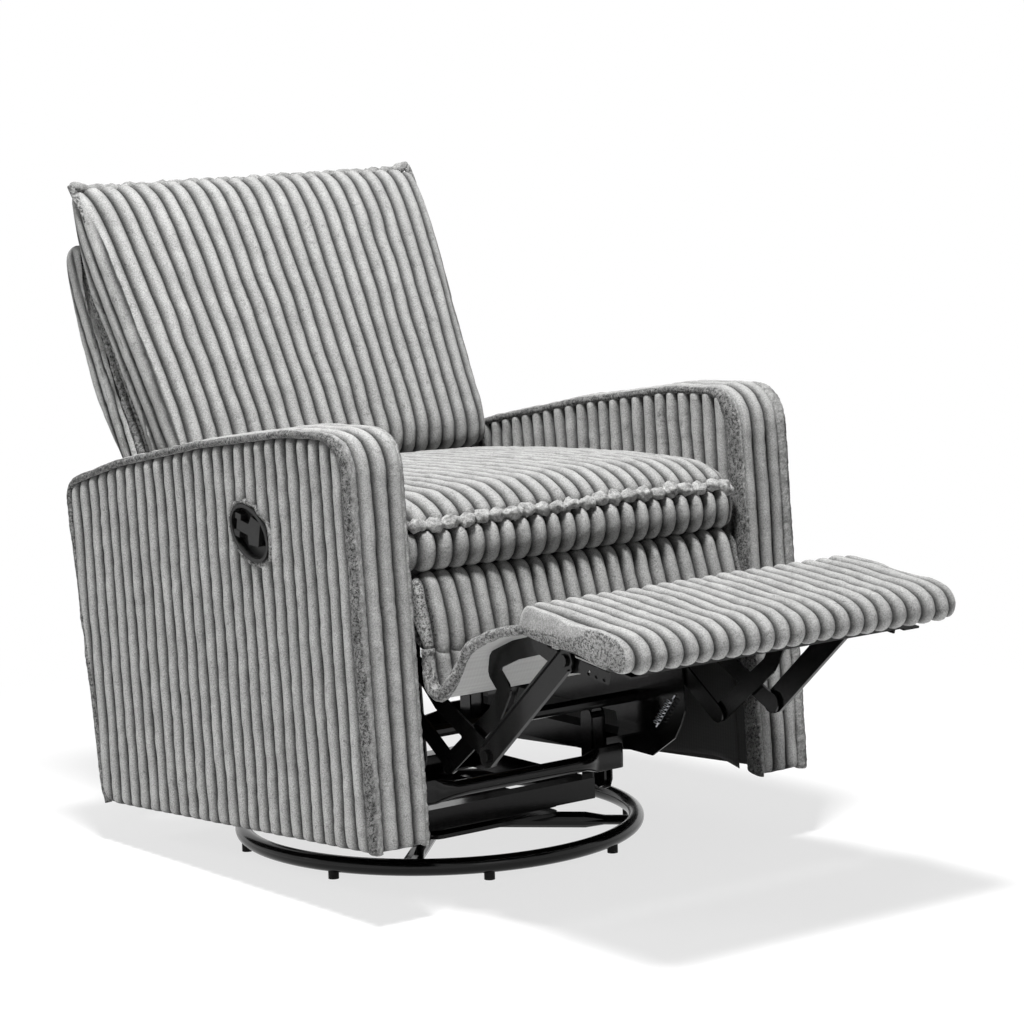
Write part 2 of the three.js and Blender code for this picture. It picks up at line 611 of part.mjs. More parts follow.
function footBoard() {
  return prism(layer(GAP, GAP + BOARD.thick), -BOARD.half, BOARD.half);
}

function footBracket(side) {
  const [x0, x1] = span(side, LAYER.a, BRACKET.thick);
  const bracketBox = { front: BRACKET.rear, long: -BRACKET.long, low: BRACKET.low, tall: BRACKET.tall };
  const plate = prism(BRACKET_SHARES.map((share) => inBox(share, bracketBox)), x0, x1);
  const eyes = [FOOT_PIVOT_B, FOOT_PIVOT_C].map((centre) => prism(disc(centre, LINK.wide / 2), x0, x1));
  const [rearShare, frontShare] = BOARD_SPAN_SHARE;
  const flangeSpan = [rearShare + (frontShare - rearShare) * BRACKET_FLANGE_SHARE, frontShare];
  const under = GAP + BOARD.thick + GAP;
  const flange = prism(layer(under, under + BRACKET.thick, flangeSpan), x1, x0 - side * BRACKET.flange);
  const outer = LAYER.b + LINK.thick;
  const outerPin = [pinX(x0, side * (outer + SINK), FOOT_PIVOT_B, LINK_PIN.radius),
    pinX(side * (outer + GAP), side * (outer + GAP + LINK_PIN.longHead), FOOT_PIVOT_B, LINK_PIN.head)];
  const innerPin = [pinX(x1, side * (LAYER.c - SINK), FOOT_PIVOT_C, LINK_PIN.radius),
    pinX(side * (LAYER.c - GAP), side * (LAYER.c - GAP - LINK_PIN.headThick), FOOT_PIVOT_C, LINK_PIN.head)];
  const holes = BRACKET_HOLE_SHARES.map((share) => pinX(
    x0 - side * SINK, x1 + side * SINK, inBox(share, bracketBox), BRACKET.hole, 8));
  const above = prism(layer(-FOOT.tall, under, [flangeSpan[0], 1]), x0 - side * SINK, x1 + side * SINK);
  return cut(join(plate, ...eyes, flange, ...outerPin, ...innerPin), above, ...holes);
}

// Seat box

function mechanismPlate(side) {
  const [x0, x1] = span(side, PLATE.x, PLATE.thick);
  const outline = PLATE_OUTLINE_SHARES.map((share) => inBox(share, PLATE));
  const pin = (centre, reach, radius, head, headThick) => [
    pinX(x0 + side * SINK, side * (reach + SINK), centre, radius),
    pinX(side * (reach + GAP), side * (reach + GAP + headThick), centre, head)];
  return join(prism(outline, x0, x1),
    ...pin(SEAT_PIVOT_A, LAYER.a + LINK.thick, LINK_PIN.radius, LINK_PIN.head, LINK_PIN.headThick),
    ...pin(SEAT_PIVOT_E, LAYER.e + LINK.lowThick, LINK_PIN.radius, LINK_PIN.head, LINK.room - 2 * PIN_GAP),
    ...pin([RECLINE.y, RECLINE.z], RECLINE_ARM.x + RECLINE_ARM.thick, RECLINE.pin, RECLINE.head, RECLINE.headThick));
}

function driveTube() {
  const end = PLATE.x - GAP;
  return pinX(-end, end, [DRIVE.y, DRIVE.z], DRIVE.radius);
}

function seatFrame() {
  const { half, rail, front, rear, bottom, top } = SEAT_FRAME;
  const { radius, sides, drop, lap, count, tieIn } = SPRING_WIRE;
  const frame = cut(box([-half, half], [front, rear], [bottom, top]),
    box([-half + rail, half - rail], [front + rail, rear - rail], [bottom - SINK, top + SINK]));
  const z = top - drop;
  const wires = Array.from({ length: count }, (_, w) => {
    const x = -half + rail + ((w + 0.5) * 2 * (half - rail)) / count;
    return sinuousWire(x, front + rail - lap, rear - rail + lap, z);
  });
  const tieEnd = half - rail + lap;
  const ties = [front + rail + tieIn, rear - rail - tieIn].map((y) => rod([-tieEnd, y, z], [tieEnd, y, z], radius, sides));
  return join(frame, ...wires, ...ties);
}

function sinuousWire(x, from, to, z) {
  const { swing, bends, radius, sides } = SPRING_WIRE;
  const steps = bends * 2;
  const points = Array.from({ length: steps + 1 }, (_, k) => {
    const fade = Math.min(1, Math.min(k, steps - k) / 2);
    return [x + (swing / 2) * fade * (k % 2 ? 1 : -1), from + ((to - from) * k) / steps, z];
  });
  return wire(points, radius, sides);
}

// Coil spring beside the mechanism plate's inner face, with a straight hook at each end.
function tensionSpring(side) {
  const { from, to, radius, wire: thick, curls, steps, sides } = TENSION;
  const x = side * (PLATE.x - GAP - thick - radius);
  const a = new THREE.Vector3(x, ...from);
  const b = new THREE.Vector3(x, ...to);
  const along = b.clone().sub(a).normalize();
  const across = new THREE.Vector3(side, 0, 0);
  const up = along.clone().cross(across).normalize();
  const total = curls * steps;
  const coilFrom = (1 - TENSION_COIL_SHARE) / 2;
  const coil = Array.from({ length: total + 1 }, (_, k) => {
    const turn = (2 * Math.PI * k) / steps;
    return a.clone().lerp(b, coilFrom + (TENSION_COIL_SHARE * k) / total)
      .addScaledVector(across, radius * Math.cos(turn)).addScaledVector(up, radius * Math.sin(turn));
  });
  const hook = (share) => a.clone().lerp(b, share).addScaledVector(across, radius);
  const points = [hook(0), hook(TENSION_HOOK_SHARE), ...coil, hook(1 - TENSION_HOOK_SHARE), hook(1)];
  const geometry = loft(points.map((p, i) => {
    const t = points[Math.min(i + 1, points.length - 1)].clone().sub(points[Math.max(i - 1, 0)]).normalize();
    const tilted = t.clone().cross(along);
    const u = tilted.length() > 0.2 ? tilted.normalize() : up.clone();
    return around(p, u, t.clone().cross(u).normalize(), thick, sides);
  }));
  return { geometry, gap: leastGap(coil, steps, thick) };
}

// The least gap between a coil and its own next turn, from wire surface to wire surface.
function leastGap(coil, steps, thick) {
  let least = Infinity;
  coil.forEach((p, i) => coil.slice(i + Math.ceil(steps / 2)).forEach((q) => {
    least = Math.min(least, p.distanceTo(q) - 2 * thick);
  }));
  return least;
}

// Cushions of the seat, and the flap to the footrest

const seatBox = {
  front: SEAT_FRAME.front - SEAT.ahead, long: SEAT_FRAME.long + SEAT.ahead + SEAT.behind, low: SEAT_FRAME.top + GAP,
  tall: SEAT.tall,
};
const apronBox = {
  front: SEAT_FRAME.front - GAP, long: -APRON.deep, low: SEAT_FRAME.top - APRON.drop - APRON.tall, tall: APRON.tall,
};
const apronProfile = APRON_SHARES.map(([along, up, ribbed]) => [...inBox([along, up], apronBox), ribbed]);

function seatCushion() {
  const profile = SEAT_SHARES.map(([along, up, ribbed]) => [...inBox([along, up], seatBox), ribbed]);
  return ribbedCushion({ ...SEAT, half: ARM.inner - SEAT.sideRoom }, profile);
}

function seatApron() {
  return ribbedCushion({ ...APRON, half: ARM.inner - APRON.sideRoom }, apronProfile);
}

function footPadding() {
  return ribbedCushion({ ...FOOT, half: ARM.inner - FOOT.sideRoom }, footProfile);
}

function footFlap() {
  const top = lerp(apronProfile[6], apronProfile[7], FLAP_TOP_SHARE);
  const start = [top[0], top[1] - GAP];
  const end = [underRear[0] + GAP / 2, underRear[1] - GAP];
  const sag = FLAP_SAG_SHARES.map(([along, up]) => [
    start[0] + along * (end[0] - start[0]), start[1] + up * (end[1] - start[1])]);
  const path = [start, ...sag, end];
  const outer = path.map((p, i) => {
    const a = path[Math.max(0, i - 1)];
    const b = path[Math.min(path.length - 1, i + 1)];
    const n = new THREE.Vector2(a[1] - b[1], b[0] - a[0]).normalize().multiplyScalar(FLAP.thick);
    return [p[0] + n.x, p[1] + n.y];
  });
  const half = ARM.inner - FLAP.sideRoom;
  return prism([...path, ...outer.reverse()], -half, half);
}

// Arms

const armCorners = ARM_SHARES.map((share) => inBox(share, ARM));

// The arm's outline, drawn in by a distance all round.
function armShape(distance) {
  return rounded(inset(armCorners, distance), ARM_ROUND.map((radius) => Math.max(radius - distance, SINK)));
}

const armOutline = armShape(0);
const armInside = armShape(ARM.crest + GAP);
const coreOuter = ARM.outer - ARM.panel;
const coreInner = ARM.inner + ARM.panel;

function reach(outline) {
  const ys = outline.map(([y]) => y);
  return [Math.min(...ys), Math.max(...ys)];
}

function armOuterPanel(side) {
  const [first, last] = reach(armOutline);
  const { ribs, inset: drawn, roll, rim } = ARM_PANEL;
  const deep = coreOuter + GAP;
  return loft(ribStations(first + drawn, last - rim, ribs).map(([y, height]) => {
    const [low, high] = spanAt(armOutline, y);
    const x = ARM.outer - RIB.depth * (1 - height);
    const drop = roll * (1 - height);
    return [[side * deep, y, low + rim], [side * x, y, low + roll], [side * x, y, high - roll - drop],
      [side * deep, y, high - rim]];
  }));
}

function armBand(side) {
  const perCorner = armOutline.length / ARM_SHARES.length;
  const stretch = armOutline.map((p, i) => [p, armInside[i]]).slice(perCorner - 1, perCorner * 6 + 2);
  const across = ribStations(ARM.inner, coreOuter, ARM_BAND_RIBS);
  return loft(stretch.map(([p, inner]) => {
    const out = across.map(([x, height]) => [side * x, ...lerp(p, inner, (RIB.smallDepth / ARM.crest) * (1 - height))]);
    return [...out, [side * coreOuter, ...inner], [side * ARM.inner, ...inner]];
  }));
}

// Where the inner panel starts, and where its strip down the front edge ends.
const innerFront = armCorners[1][0] + ARM.crest + 4 * GAP;
const stripEnd = innerFront + ARM.strip;

function armInnerPanel(side) {
  const outline = armShape(ARM.crest + 6 * GAP);
  const { ribs, inset: drawn, roll, rim, steepest } = ARM_PANEL;
  const last = reach(outline)[1] - steepest;
  const back = coreInner - GAP;
  const stations = [...ribStations(innerFront, last, ribs - 1), [stripEnd, 0], [stripEnd + 2 * GAP, 0]];
  stations.sort(([a], [b]) => a - b);
  return loft(stations.map(([y, height]) => {
    const [low, high] = spanAt(outline, y);
    const x = ARM.inner + PIN_GAP + RIB.smallDepth * (1 - height);
    const bottom = y <= stripEnd ? low + rim : Math.max(low + rim, ARM.split);
    return [[side * back, y, bottom], [side * x, y, bottom + drawn], [side * x, y, high - roll],
      [side * back, y, high - rim]];
  }));
}

function armBars(side, grow = 0) {
  const { tall, long } = ARM_BAR;
  const x = [side * (PLATE.x + PLATE.thick + GAP), side * (coreInner + SINK)];
  return ARM_BAR_SHARES.map((share) => inBox(share, PLATE)).map(([y, z]) => box(
    x, [y - long / 2 - grow, y + long / 2 + grow], [z - tall / 2 - grow, z + tall / 2 + grow]));
}

function armFrame(side) {
  return join(prism(armShape(ARM.crest + 2 * GAP), side * coreInner, side * coreOuter), ...armBars(side));
}

function armLining(side) {
  const x = coreInner - GAP - LINING.thick;
  const top = ARM.split - GAP;
  const front = stripEnd + 4 * GAP;
  const arch = LINING_ARCH_SHARES.map((share) => inBox(share, ARM));
  const rear = arch[arch.length - 1][0];
  const outline = [[front, ARM.low + LINING_FRONT_SHARE * ARM.tall], ...arch, [rear, top], [front, top]];
  return cut(prism(outline, side * x, side * (x + LINING.thick)), ...armBars(side, GAP));
}

// Handle, on the -X side

const paddleFace = ARM.outer - PADDLE.inset;

function oval(shrink) {
  const { y, z, long, wide, sides } = BEZEL;
  const turn = THREE.MathUtils.degToRad(BEZEL.tilt);
  return Array.from({ length: sides }, (_, k) => {
    const a = (2 * Math.PI * k) / sides;
    const along = (long / 2 - shrink) * Math.cos(a);
    const up = (wide / 2 - shrink) * Math.sin(a);
    return [y + along * Math.cos(turn) - up * Math.sin(turn), z + along * Math.sin(turn) + up * Math.cos(turn)];
  });
}

function bezelBody(grow = 0) {
  return prism(oval(-grow), -(ARM.outer + grow), -(ARM.outer - BEZEL.deep - grow));
}

// A point of the paddle: along its stem from the hinge end, and up across it.
function paddlePoint([along, up]) {
  const turn = THREE.MathUtils.degToRad(PADDLE.tilt);
  return [
    BEZEL.y + PADDLE.ahead - along * Math.cos(turn) - up * Math.sin(turn),
    BEZEL.z + PADDLE.above - along * Math.sin(turn) + up * Math.cos(turn),
  ];
}

function paddleBlock([from, to], [low, high], x0, x1) {
  return prism([[from, low], [to, low], [to, high], [from, high]].map(paddlePoint), x0, x1);
}

function hingePin(radius, half) {
  const x = -(paddleFace - PADDLE.thick / 2);
  return rod([x, ...paddlePoint([PADDLE.pinAt, -half])], [x, ...paddlePoint([PADDLE.pinAt, half])], radius, 10);
}

function handleBezel() {
  const { thick, room, stem, pin, ear, earFrom, earTo, earDeep } = PADDLE;
  const floor = paddleFace - thick - room;
  const mouth = oval(BEZEL.wall);
  const pocket = prism(mouth, -(ARM.outer + SINK), -floor);
  const { from, to, wide, deep } = FINGER_WELL;
  const wellX = [-ARM.outer, -(ARM.outer - deep)];
  const well = common(paddleBlock([from, to], [-wide / 2, wide / 2], ...wellX), prism(mouth, ...wellX));
  const ears = [-1, 1].map((end) => paddleBlock(
    [earFrom, earTo], [end * (stem / 2 + GAP), end * (stem / 2 + ear)], -(paddleFace + SINK), -(floor - earDeep)));
  return join(cut(bezelBody(), pocket, well), ...ears, hingePin(pin, stem / 2 + ear - SINK));
}

function releasePaddle() {
  const { stem, stemLong, neckLong, neckWide, long, tipWide, thick, pin, ear } = PADDLE;
  const upper = [[0, stem / 2], [stemLong, stem / 2], [neckLong, neckWide / 2], [long, tipWide / 2]];
  const outline = [...upper.map(([along, up]) => [along, -up]), ...upper.reverse()];
  const blade = prism(outline.map(paddlePoint), -paddleFace, -(paddleFace - thick));
  return cut(blade, hingePin(pin + PIN_GAP, stem / 2 + ear));
}

// Back

function backPoint([s, t]) {
  const { y, z, lean } = BACK;
  return [y + s * Math.sin(lean) + t * Math.cos(lean), z + s * Math.cos(lean) - t * Math.sin(lean)];
}

function backProfile(shares, low, long, front, thick) {
  return shares.map(([along, deep, ribbed]) => [...backPoint([low + along * long, front + deep * thick]), ribbed]);
}

// The flat arm from each recline pivot up to the back panel.
function reclineArm(side, grow = 0) {
  const { x, thick, wide, top, depth } = RECLINE_ARM;
  const outline = stadium([RECLINE.y, RECLINE.z], backPoint([top, depth]), wide + 2 * grow);
  return prism(outline, side * (x - grow), side * (x + thick + grow));
}

function backFrame() {
  const { half, low, high, front, rear } = BACK_PANEL;
  const panel = prism([[low, front], [high, front], [high, rear], [low, rear]].map(backPoint), -half, half);
  const bores = [-1, 1].map((side) => pinX(side * (RECLINE_ARM.x - SINK), side * (RECLINE_ARM.x + RECLINE_ARM.thick + SINK),
    [RECLINE.y, RECLINE.z], RECLINE.pin + PIN_GAP));
  return cut(join(panel, reclineArm(-1), reclineArm(1)), ...bores);
}

function backCushion() {
  const { low, long, thick, half, topHalf, widenFrom, widenOver } = BACK_CUSHION;
  const profile = backProfile(BACK_CUSHION_SHARES, low, long, BACK_PANEL.front - GAP - thick, thick);
  const zFrom = backPoint([widenFrom, 0])[1];
  const widen = (z) => 1 + (topHalf / half - 1) * THREE.MathUtils.smoothstep(z, zFrom, zFrom + widenOver);
  return ribbedCushion(BACK_CUSHION, profile, widen);
}

function backCover() {
  const { low, long, thick, lap } = COVER;
  const inner = BACK_PANEL.rear + GAP;
  const overTop = BACK_PANEL.high + GAP;
  const profile = [...backProfile(COVER_SHARES, low, long, inner, thick),
    [...backPoint([overTop, inner - lap]), 0], [...backPoint([overTop, inner]), 0]];
  return cut(ribbedCushion(COVER, profile), reclineArm(-1, SINK), reclineArm(1, SINK));
}

// Assembly

const chair = new THREE.Group();
chair.name = "swivel_glider_recliner";

function add(name, geometry, color, pitched, roughness = 0.6) {
  const bare = mergeVertices(stripped(geometry), WELD);
  if (pitched) bare.rotateX(-PITCH);
  bare.translate(0, SWIVEL_Y, 0);
  bare.computeVertexNormals();
  const mesh = new THREE.Mesh(bare, new THREE.MeshStandardMaterial({ color, roughness, flatShading: true }));
  mesh.name = name;
  chair.add(mesh);
}

const addLevel = (name, geometry, color = BLACK) => add(name, geometry, color, false, 0.35);
const addBody = (name, geometry, color = BLACK) => add(name, geometry, color, true, color === CLOTH ? 0.95 : 0.4);
const SIDES = [[-1, "r"], [1, "l"]];

addLevel("base_ring", ring());
addLevel("base_cross", baseCross());
for (let k = 0; k < PAD.count; k += 1) {
  addLevel(`foot_pad_${k + 1}`, footPad(THREE.MathUtils.degToRad(PAD.turn + (360 * k) / PAD.count)));
}
addLevel("swivel_lower_plate", swivelLowerPlate());
addLevel("swivel_upper_plate", swivelUpperPlate());
addLevel("swivel_frame", swivelFrame());
for (const [side, tag] of SIDES) {
  addLevel(`swing_link_front_${tag}`, swingLink(side, -1));
  addLevel(`swing_link_rear_${tag}`, swingLink(side, 1));
  addLevel(`carriage_rail_${tag}`, carriageRail(side));
}
addLevel("front_cross_tube", crossTube(-1));
addLevel("rear_cross_tube", crossTube(1));

addBody("drive_tube", driveTube());
addBody("seat_frame", seatFrame(), WOOD);
addBody("seat_cushion", seatCushion(), CLOTH);
addBody("seat_apron", seatApron(), CLOTH);
addBody("footrest_flap", footFlap(), CLOTH);
addBody("footrest_pad", footPadding(), CLOTH);
addBody("footrest_board", footBoard(), WOOD);
for (const [side, tag] of SIDES) {
  const spring = tensionSpring(side);
  console.log(`tension_spring_${tag}: least gap between turns ${spring.gap.toFixed(2)} mm`);
  addBody(`mechanism_plate_${tag}`, mechanismPlate(side));
  addBody(`tension_spring_${tag}`, spring.geometry, STEEL);
  addBody(`link_knee_rear_${tag}`, rearKneeLink(side));
  addBody(`link_knee_front_${tag}`, frontKneeLink(side));
  addBody(`link_curved_${tag}`, curvedLink(side));
  addBody(`link_lower_${tag}`, lowerLink(side));
  addBody(`footrest_bracket_${tag}`, footBracket(side));
  const housed = (geometry) => (side < 0 ? cut(geometry, bezelBody(GAP)) : geometry);
  addBody(`arm_frame_${tag}`, housed(armFrame(side)), WOOD);
  addBody(`arm_outer_panel_${tag}`, housed(armOuterPanel(side)), CLOTH);
  addBody(`arm_band_${tag}`, armBand(side), CLOTH);
  addBody(`arm_inner_panel_${tag}`, armInnerPanel(side), CLOTH);
  addBody(`arm_lining_${tag}`, armLining(side));
}
addBody("handle_bezel", handleBezel());
addBody("release_paddle", releasePaddle());
addBody("back_frame", backFrame(), WOOD);
addBody("back_cover", backCover(), CLOTH);
addBody("back_cushion", backCushion(), CLOTH);

export default chair;
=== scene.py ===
"""Looks of a swivel glider recliner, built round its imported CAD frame.

Shapes are worked out in millimetres and turned into metres where a mesh is made. Each piece is drawn in one of
three places: "level" (the base), "body" (the chair, pitched back on its glider) or "back" (up and through the back).
"""

import json
import math

import bmesh
import bpy
import numpy as np
from mathutils import Matrix, Vector


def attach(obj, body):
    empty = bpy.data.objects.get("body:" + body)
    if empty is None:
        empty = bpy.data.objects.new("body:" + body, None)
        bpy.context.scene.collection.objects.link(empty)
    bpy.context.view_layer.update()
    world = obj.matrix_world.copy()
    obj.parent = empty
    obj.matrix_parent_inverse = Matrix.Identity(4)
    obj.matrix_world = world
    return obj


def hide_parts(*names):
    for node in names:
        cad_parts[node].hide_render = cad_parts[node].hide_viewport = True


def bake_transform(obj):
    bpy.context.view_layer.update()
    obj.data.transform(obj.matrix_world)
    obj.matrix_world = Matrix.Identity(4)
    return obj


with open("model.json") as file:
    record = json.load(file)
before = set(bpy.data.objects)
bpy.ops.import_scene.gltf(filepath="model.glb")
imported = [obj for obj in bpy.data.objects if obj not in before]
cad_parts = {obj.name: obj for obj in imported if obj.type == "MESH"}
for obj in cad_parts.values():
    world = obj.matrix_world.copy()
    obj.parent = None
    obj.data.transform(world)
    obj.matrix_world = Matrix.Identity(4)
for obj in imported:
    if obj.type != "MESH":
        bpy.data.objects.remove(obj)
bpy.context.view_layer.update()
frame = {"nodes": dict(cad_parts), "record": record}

PITCH = math.radians(3.5)  # the chair's tilt back on its glider
SWIVEL_Y = 143.3  # the swivel's axis, behind the middle of the whole chair's box
LEAN = math.radians(24.3)  # the back's lean in the chair
BACK_FOOT = (229, 600)  # where the back's own frame starts, as (y, z) in the chair
SIDES = ((-1, "r"), (1, "l"))  # the near arm, with the handle, and the far one


# Places

def level(p):
    """Points of the base, measured from the swivel's axis, in metres."""
    return np.stack([p[..., 0], p[..., 1] + SWIVEL_Y, p[..., 2]], -1) / 1000


def body(p):
    """Points of the chair, before its tilt, in metres."""
    x, y, z = p[..., 0], p[..., 1], p[..., 2]
    c, s = math.cos(PITCH), math.sin(PITCH)
    return np.stack([x, c * y + s * z + SWIVEL_Y, c * z - s * y], -1) / 1000


def back(p):
    """Points of the back, as (across, up, to the rear), in metres."""
    x, up, deep = p[..., 0], p[..., 1], p[..., 2]
    c, s = math.cos(LEAN), math.sin(LEAN)
    return body(np.stack([x, BACK_FOOT[0] + up * s + deep * c, BACK_FOOT[1] + up * c - deep * s], -1))


# Curves and noise

def lumps(points, size, seed=0):
    """Smooth noise from -1 to 1 at points in millimetres, with lumps about as wide as size."""
    q = np.asarray(points, float) / size + 97.3 * (seed + 1)
    cell = np.floor(q).astype(np.int64)
    f = q - cell
    f = f * f * (3 - 2 * f)
    total = 0
    for corner in np.ndindex(2, 2, 2):
        i = cell + np.array(corner)
        h = (i[..., 0] * 374761393 + i[..., 1] * 668265263 + i[..., 2] * 1442695041 + seed * 9176) & 0xFFFFFFFF
        h = ((h ^ (h >> 13)) * 1274126177) & 0xFFFFFFFF
        h = (h ^ (h >> 16)) & 0xFFFF
        weight = np.prod(np.where(np.array(corner) > 0, f, 1 - f), -1)
        total = total + weight * (h / 32767.5 - 1)
    return total


def ripple(x, size, seed, y=0.0):
    """Lumps along a line."""
    return lumps(np.stack([x, np.broadcast_to(y, x.shape), np.zeros(x.shape)], -1), size, seed)


def smoothstep(x, lo, hi):
    t = np.clip((x - lo) / (hi - lo), 0, 1)
    return t * t * (3 - 2 * t)


def dome(u, power=2.0):
    """The height of a round cord at u across it, from 0 to 1."""
    return np.sqrt(np.maximum(0, 1 - np.abs(2 * u - 1) ** power))


def swelling(d, radius):
    """How full a rib is at a distance from its seam: 0 on it and 1 from radius on."""
    t = np.clip(d / radius, 0, 1)
    return np.sqrt(np.maximum(0, 1 - (1 - t) ** 2))


def unit(v):
    return v / np.maximum(1e-9, np.linalg.norm(v, axis=1))[:, None]


def tangents(p, closed=False):
    return unit(np.roll(p, -1, 0) - np.roll(p, 1, 0) if closed else np.gradient(p, axis=0))


def distances(points):
    """How far along a line each of its points is."""
    return np.concatenate([[0], np.cumsum(np.linalg.norm(np.diff(points, axis=0), axis=1))])


def signed_area(p):
    return np.sum(p[:, 0] * np.roll(p[:, 1], -1) - np.roll(p[:, 0], -1) * p[:, 1])


def between(a, b, from_t, to_t, t):
    return (to_t - t) / (to_t - from_t) * a + (t - from_t) / (to_t - from_t) * b


def catmull(points, per=20):
    """A smooth curve through points, with the index that each sample has reached."""
    p = np.asarray(points, float)
    if len(p) == 2:
        t = np.linspace(0, 1, per + 1)
        return p[0] + (p[1] - p[0]) * t[:, None], t
    q = np.vstack([2 * p[0] - p[1], p, 2 * p[-1] - p[-2]])
    u = np.linspace(0, 1, per, endpoint=False)
    out = []
    for i in range(len(p) - 1):
        a, b, c, d = q[i:i + 4]
        t1, t2, t3 = np.cumsum([max(1e-6, np.linalg.norm(v)) ** 0.5 for v in (b - a, c - b, d - c)])
        t = (t1 + (t2 - t1) * u)[:, None]
        low, mid, high = between(a, b, 0, t1, t), between(b, c, t1, t2, t), between(c, d, t2, t3, t)
        out.append(between(between(low, mid, 0, t2, t), between(mid, high, t1, t3, t), t1, t2, t))
    index = (np.arange(len(p) - 1)[:, None] + u).ravel()
    return np.vstack(out + [p[-1:]]), np.append(index, len(p) - 1)


def resample(points, step, *along):
    """Points at even distances along a line, with the same for any values that go along it, and the distances."""
    points = np.asarray(points, float)
    length = distances(points)
    at = np.linspace(0, length[-1], max(2, int(round(length[-1] / step)) + 1))
    even = np.stack([np.interp(at, length, points[:, k]) for k in range(points.shape[1])], -1)
    return (even, *[np.interp(at, length, v) for v in along], at)


def normals_of(points, closed):
    """Unit normals of a line in a plane, outwards where it goes round something."""
    p = np.asarray(points, float)
    t = tangents(p, closed)
    n = np.stack([t[:, 1], -t[:, 0]], -1)
    return n if signed_area(p) > 0 else -n


def rounded(points, radii, steps=10):
    """A closed outline with its corners rounded."""
    out = []
    count = len(points)
    for i in range(count):
        p = np.array(points[i], float)
        before = np.array(points[i - 1], float) - p
        after = np.array(points[(i + 1) % count], float) - p
        lb, la = np.linalg.norm(before), np.linalg.norm(after)
        half = math.acos(np.clip(np.dot(before, after) / lb / la, -1, 1)) / 2
        reach = min(radii[i] / math.tan(half), lb / 2.1, la / 2.1)
        a, b = p + before / lb * reach, p + after / la * reach
        for k in range(steps + 1):
            t = k / steps
            out.append((1 - t) ** 2 * a + 2 * t * (1 - t) * p + t * t * b)
    return np.array(out)


def inset(points, distance):
    """The corners of a closed outline, drawn in by a distance."""
    p = np.asarray(points, float)
    side = math.copysign(distance, signed_area(p))
    a, b = unit(p - np.roll(p, 1, 0)), unit(np.roll(p, -1, 0) - p)
    n = unit(np.stack([-a[:, 1] - b[:, 1], a[:, 0] + b[:, 0]], -1))
    stretch = np.maximum(0.5, -n[:, 0] * a[:, 1] + n[:, 1] * a[:, 0])
    return p + n * (side / stretch)[:, None]


def span_at(outline, y):
    """Lowest and highest z of a closed outline at each y."""
    a, b = outline, np.roll(outline, -1, 0)
    low = np.full(len(y), np.inf)
    high = np.full(len(y), -np.inf)
    for (y0, z0), (y1, z1) in zip(a, b):
        if y0 == y1:
            continue
        hit = (np.minimum(y0, y1) <= y) & (y <= np.maximum(y0, y1))
        z = z0 + (y - y0) / (y1 - y0) * (z1 - z0)
        low = np.where(hit, np.minimum(low, z), low)
        high = np.where(hit, np.maximum(high, z), high)
    return low, high


# Meshes

def make(name, points, faces, material, rib=None, worn=None):
    """A smooth mesh object from points in metres. rib, from 0 in a groove to 1 on a crest, is kept for the material,
    which paints shade into the grooves by it, and so is worn, from 0 to 1 where the pile is crushed."""
    mesh = bpy.data.meshes.new(name)
    mesh.from_pydata(np.asarray(points).reshape(-1, 3).tolist(), [], [list(map(int, f)) for f in faces])
    mesh.validate()
    for kind, values in (("rib", rib), ("worn", worn)):
        if values is not None:
            layer = mesh.attributes.new(kind, "FLOAT", "POINT")
            layer.data.foreach_set("value", np.asarray(values, np.float32).ravel())
    mesh.polygons.foreach_set("use_smooth", [True] * len(mesh.polygons))
    obj = bpy.data.objects.new(name, mesh)
    bpy.context.scene.collection.objects.link(obj)
    for m in material if isinstance(material, (list, tuple)) else [material]:
        mesh.materials.append(m)
    return obj


def quads(rows, cols, wrap_rows=False, wrap_cols=False, flip=False):
    """The faces of a grid of points."""
    r = np.arange(rows if wrap_rows else rows - 1)
    c = np.arange(cols if wrap_cols else cols - 1)
    r, c = np.meshgrid(r, c, indexing="ij")
    r1, c1 = (r + 1) % rows, (c + 1) % cols
    q = np.stack([r * cols + c, r * cols + c1, r1 * cols + c1, r1 * cols + c], -1).reshape(-1, 4)
    return (q[:, ::-1] if flip else q).tolist()


def border(rows, cols):
    """The points round the edge of a grid, in order."""
    loop = [r * cols for r in range(rows)] + [(rows - 1) * cols + c for c in range(1, cols)]
    return loop + [r * cols + cols - 1 for r in range(rows - 2, -1, -1)] + list(range(cols - 2, 0, -1))


def two_skins(rows, cols):
    """The faces of a thin sheet: a grid, the same grid again for its other side, and the edge between them."""
    count = rows * cols
    loop = border(rows, cols)
    edge = [[a, b, b + count, a + count] for a, b in zip(loop, loop[1:] + loop[:1])]
    return quads(rows, cols) + (np.array(quads(rows, cols, flip=True)) + count).tolist() + edge


def caps(rows, cols):
    """The two flat faces that close a tube of rings."""
    return [list(range(cols)), list(range((rows - 1) * cols, rows * cols))[::-1]]


def fans(rows, cols):
    """The faces that close a tube of rings at both ends, round two middle points that follow the rings."""
    first, last = rows * cols, (rows - 1) * cols
    return ([[first, (i + 1) % cols, i] for i in range(cols)]
            + [[first + 1, last + i, last + (i + 1) % cols] for i in range(cols)])


def outward(obj):
    """Turns the faces of a closed mesh outwards."""
    bm = bmesh.new()
    bm.from_mesh(obj.data)
    bmesh.ops.recalc_face_normals(bm, faces=bm.faces)
    if bm.calc_volume(signed=True) < 0:
        bmesh.ops.reverse_faces(bm, faces=bm.faces)
    bm.to_mesh(obj.data)
    bm.free()
    return obj


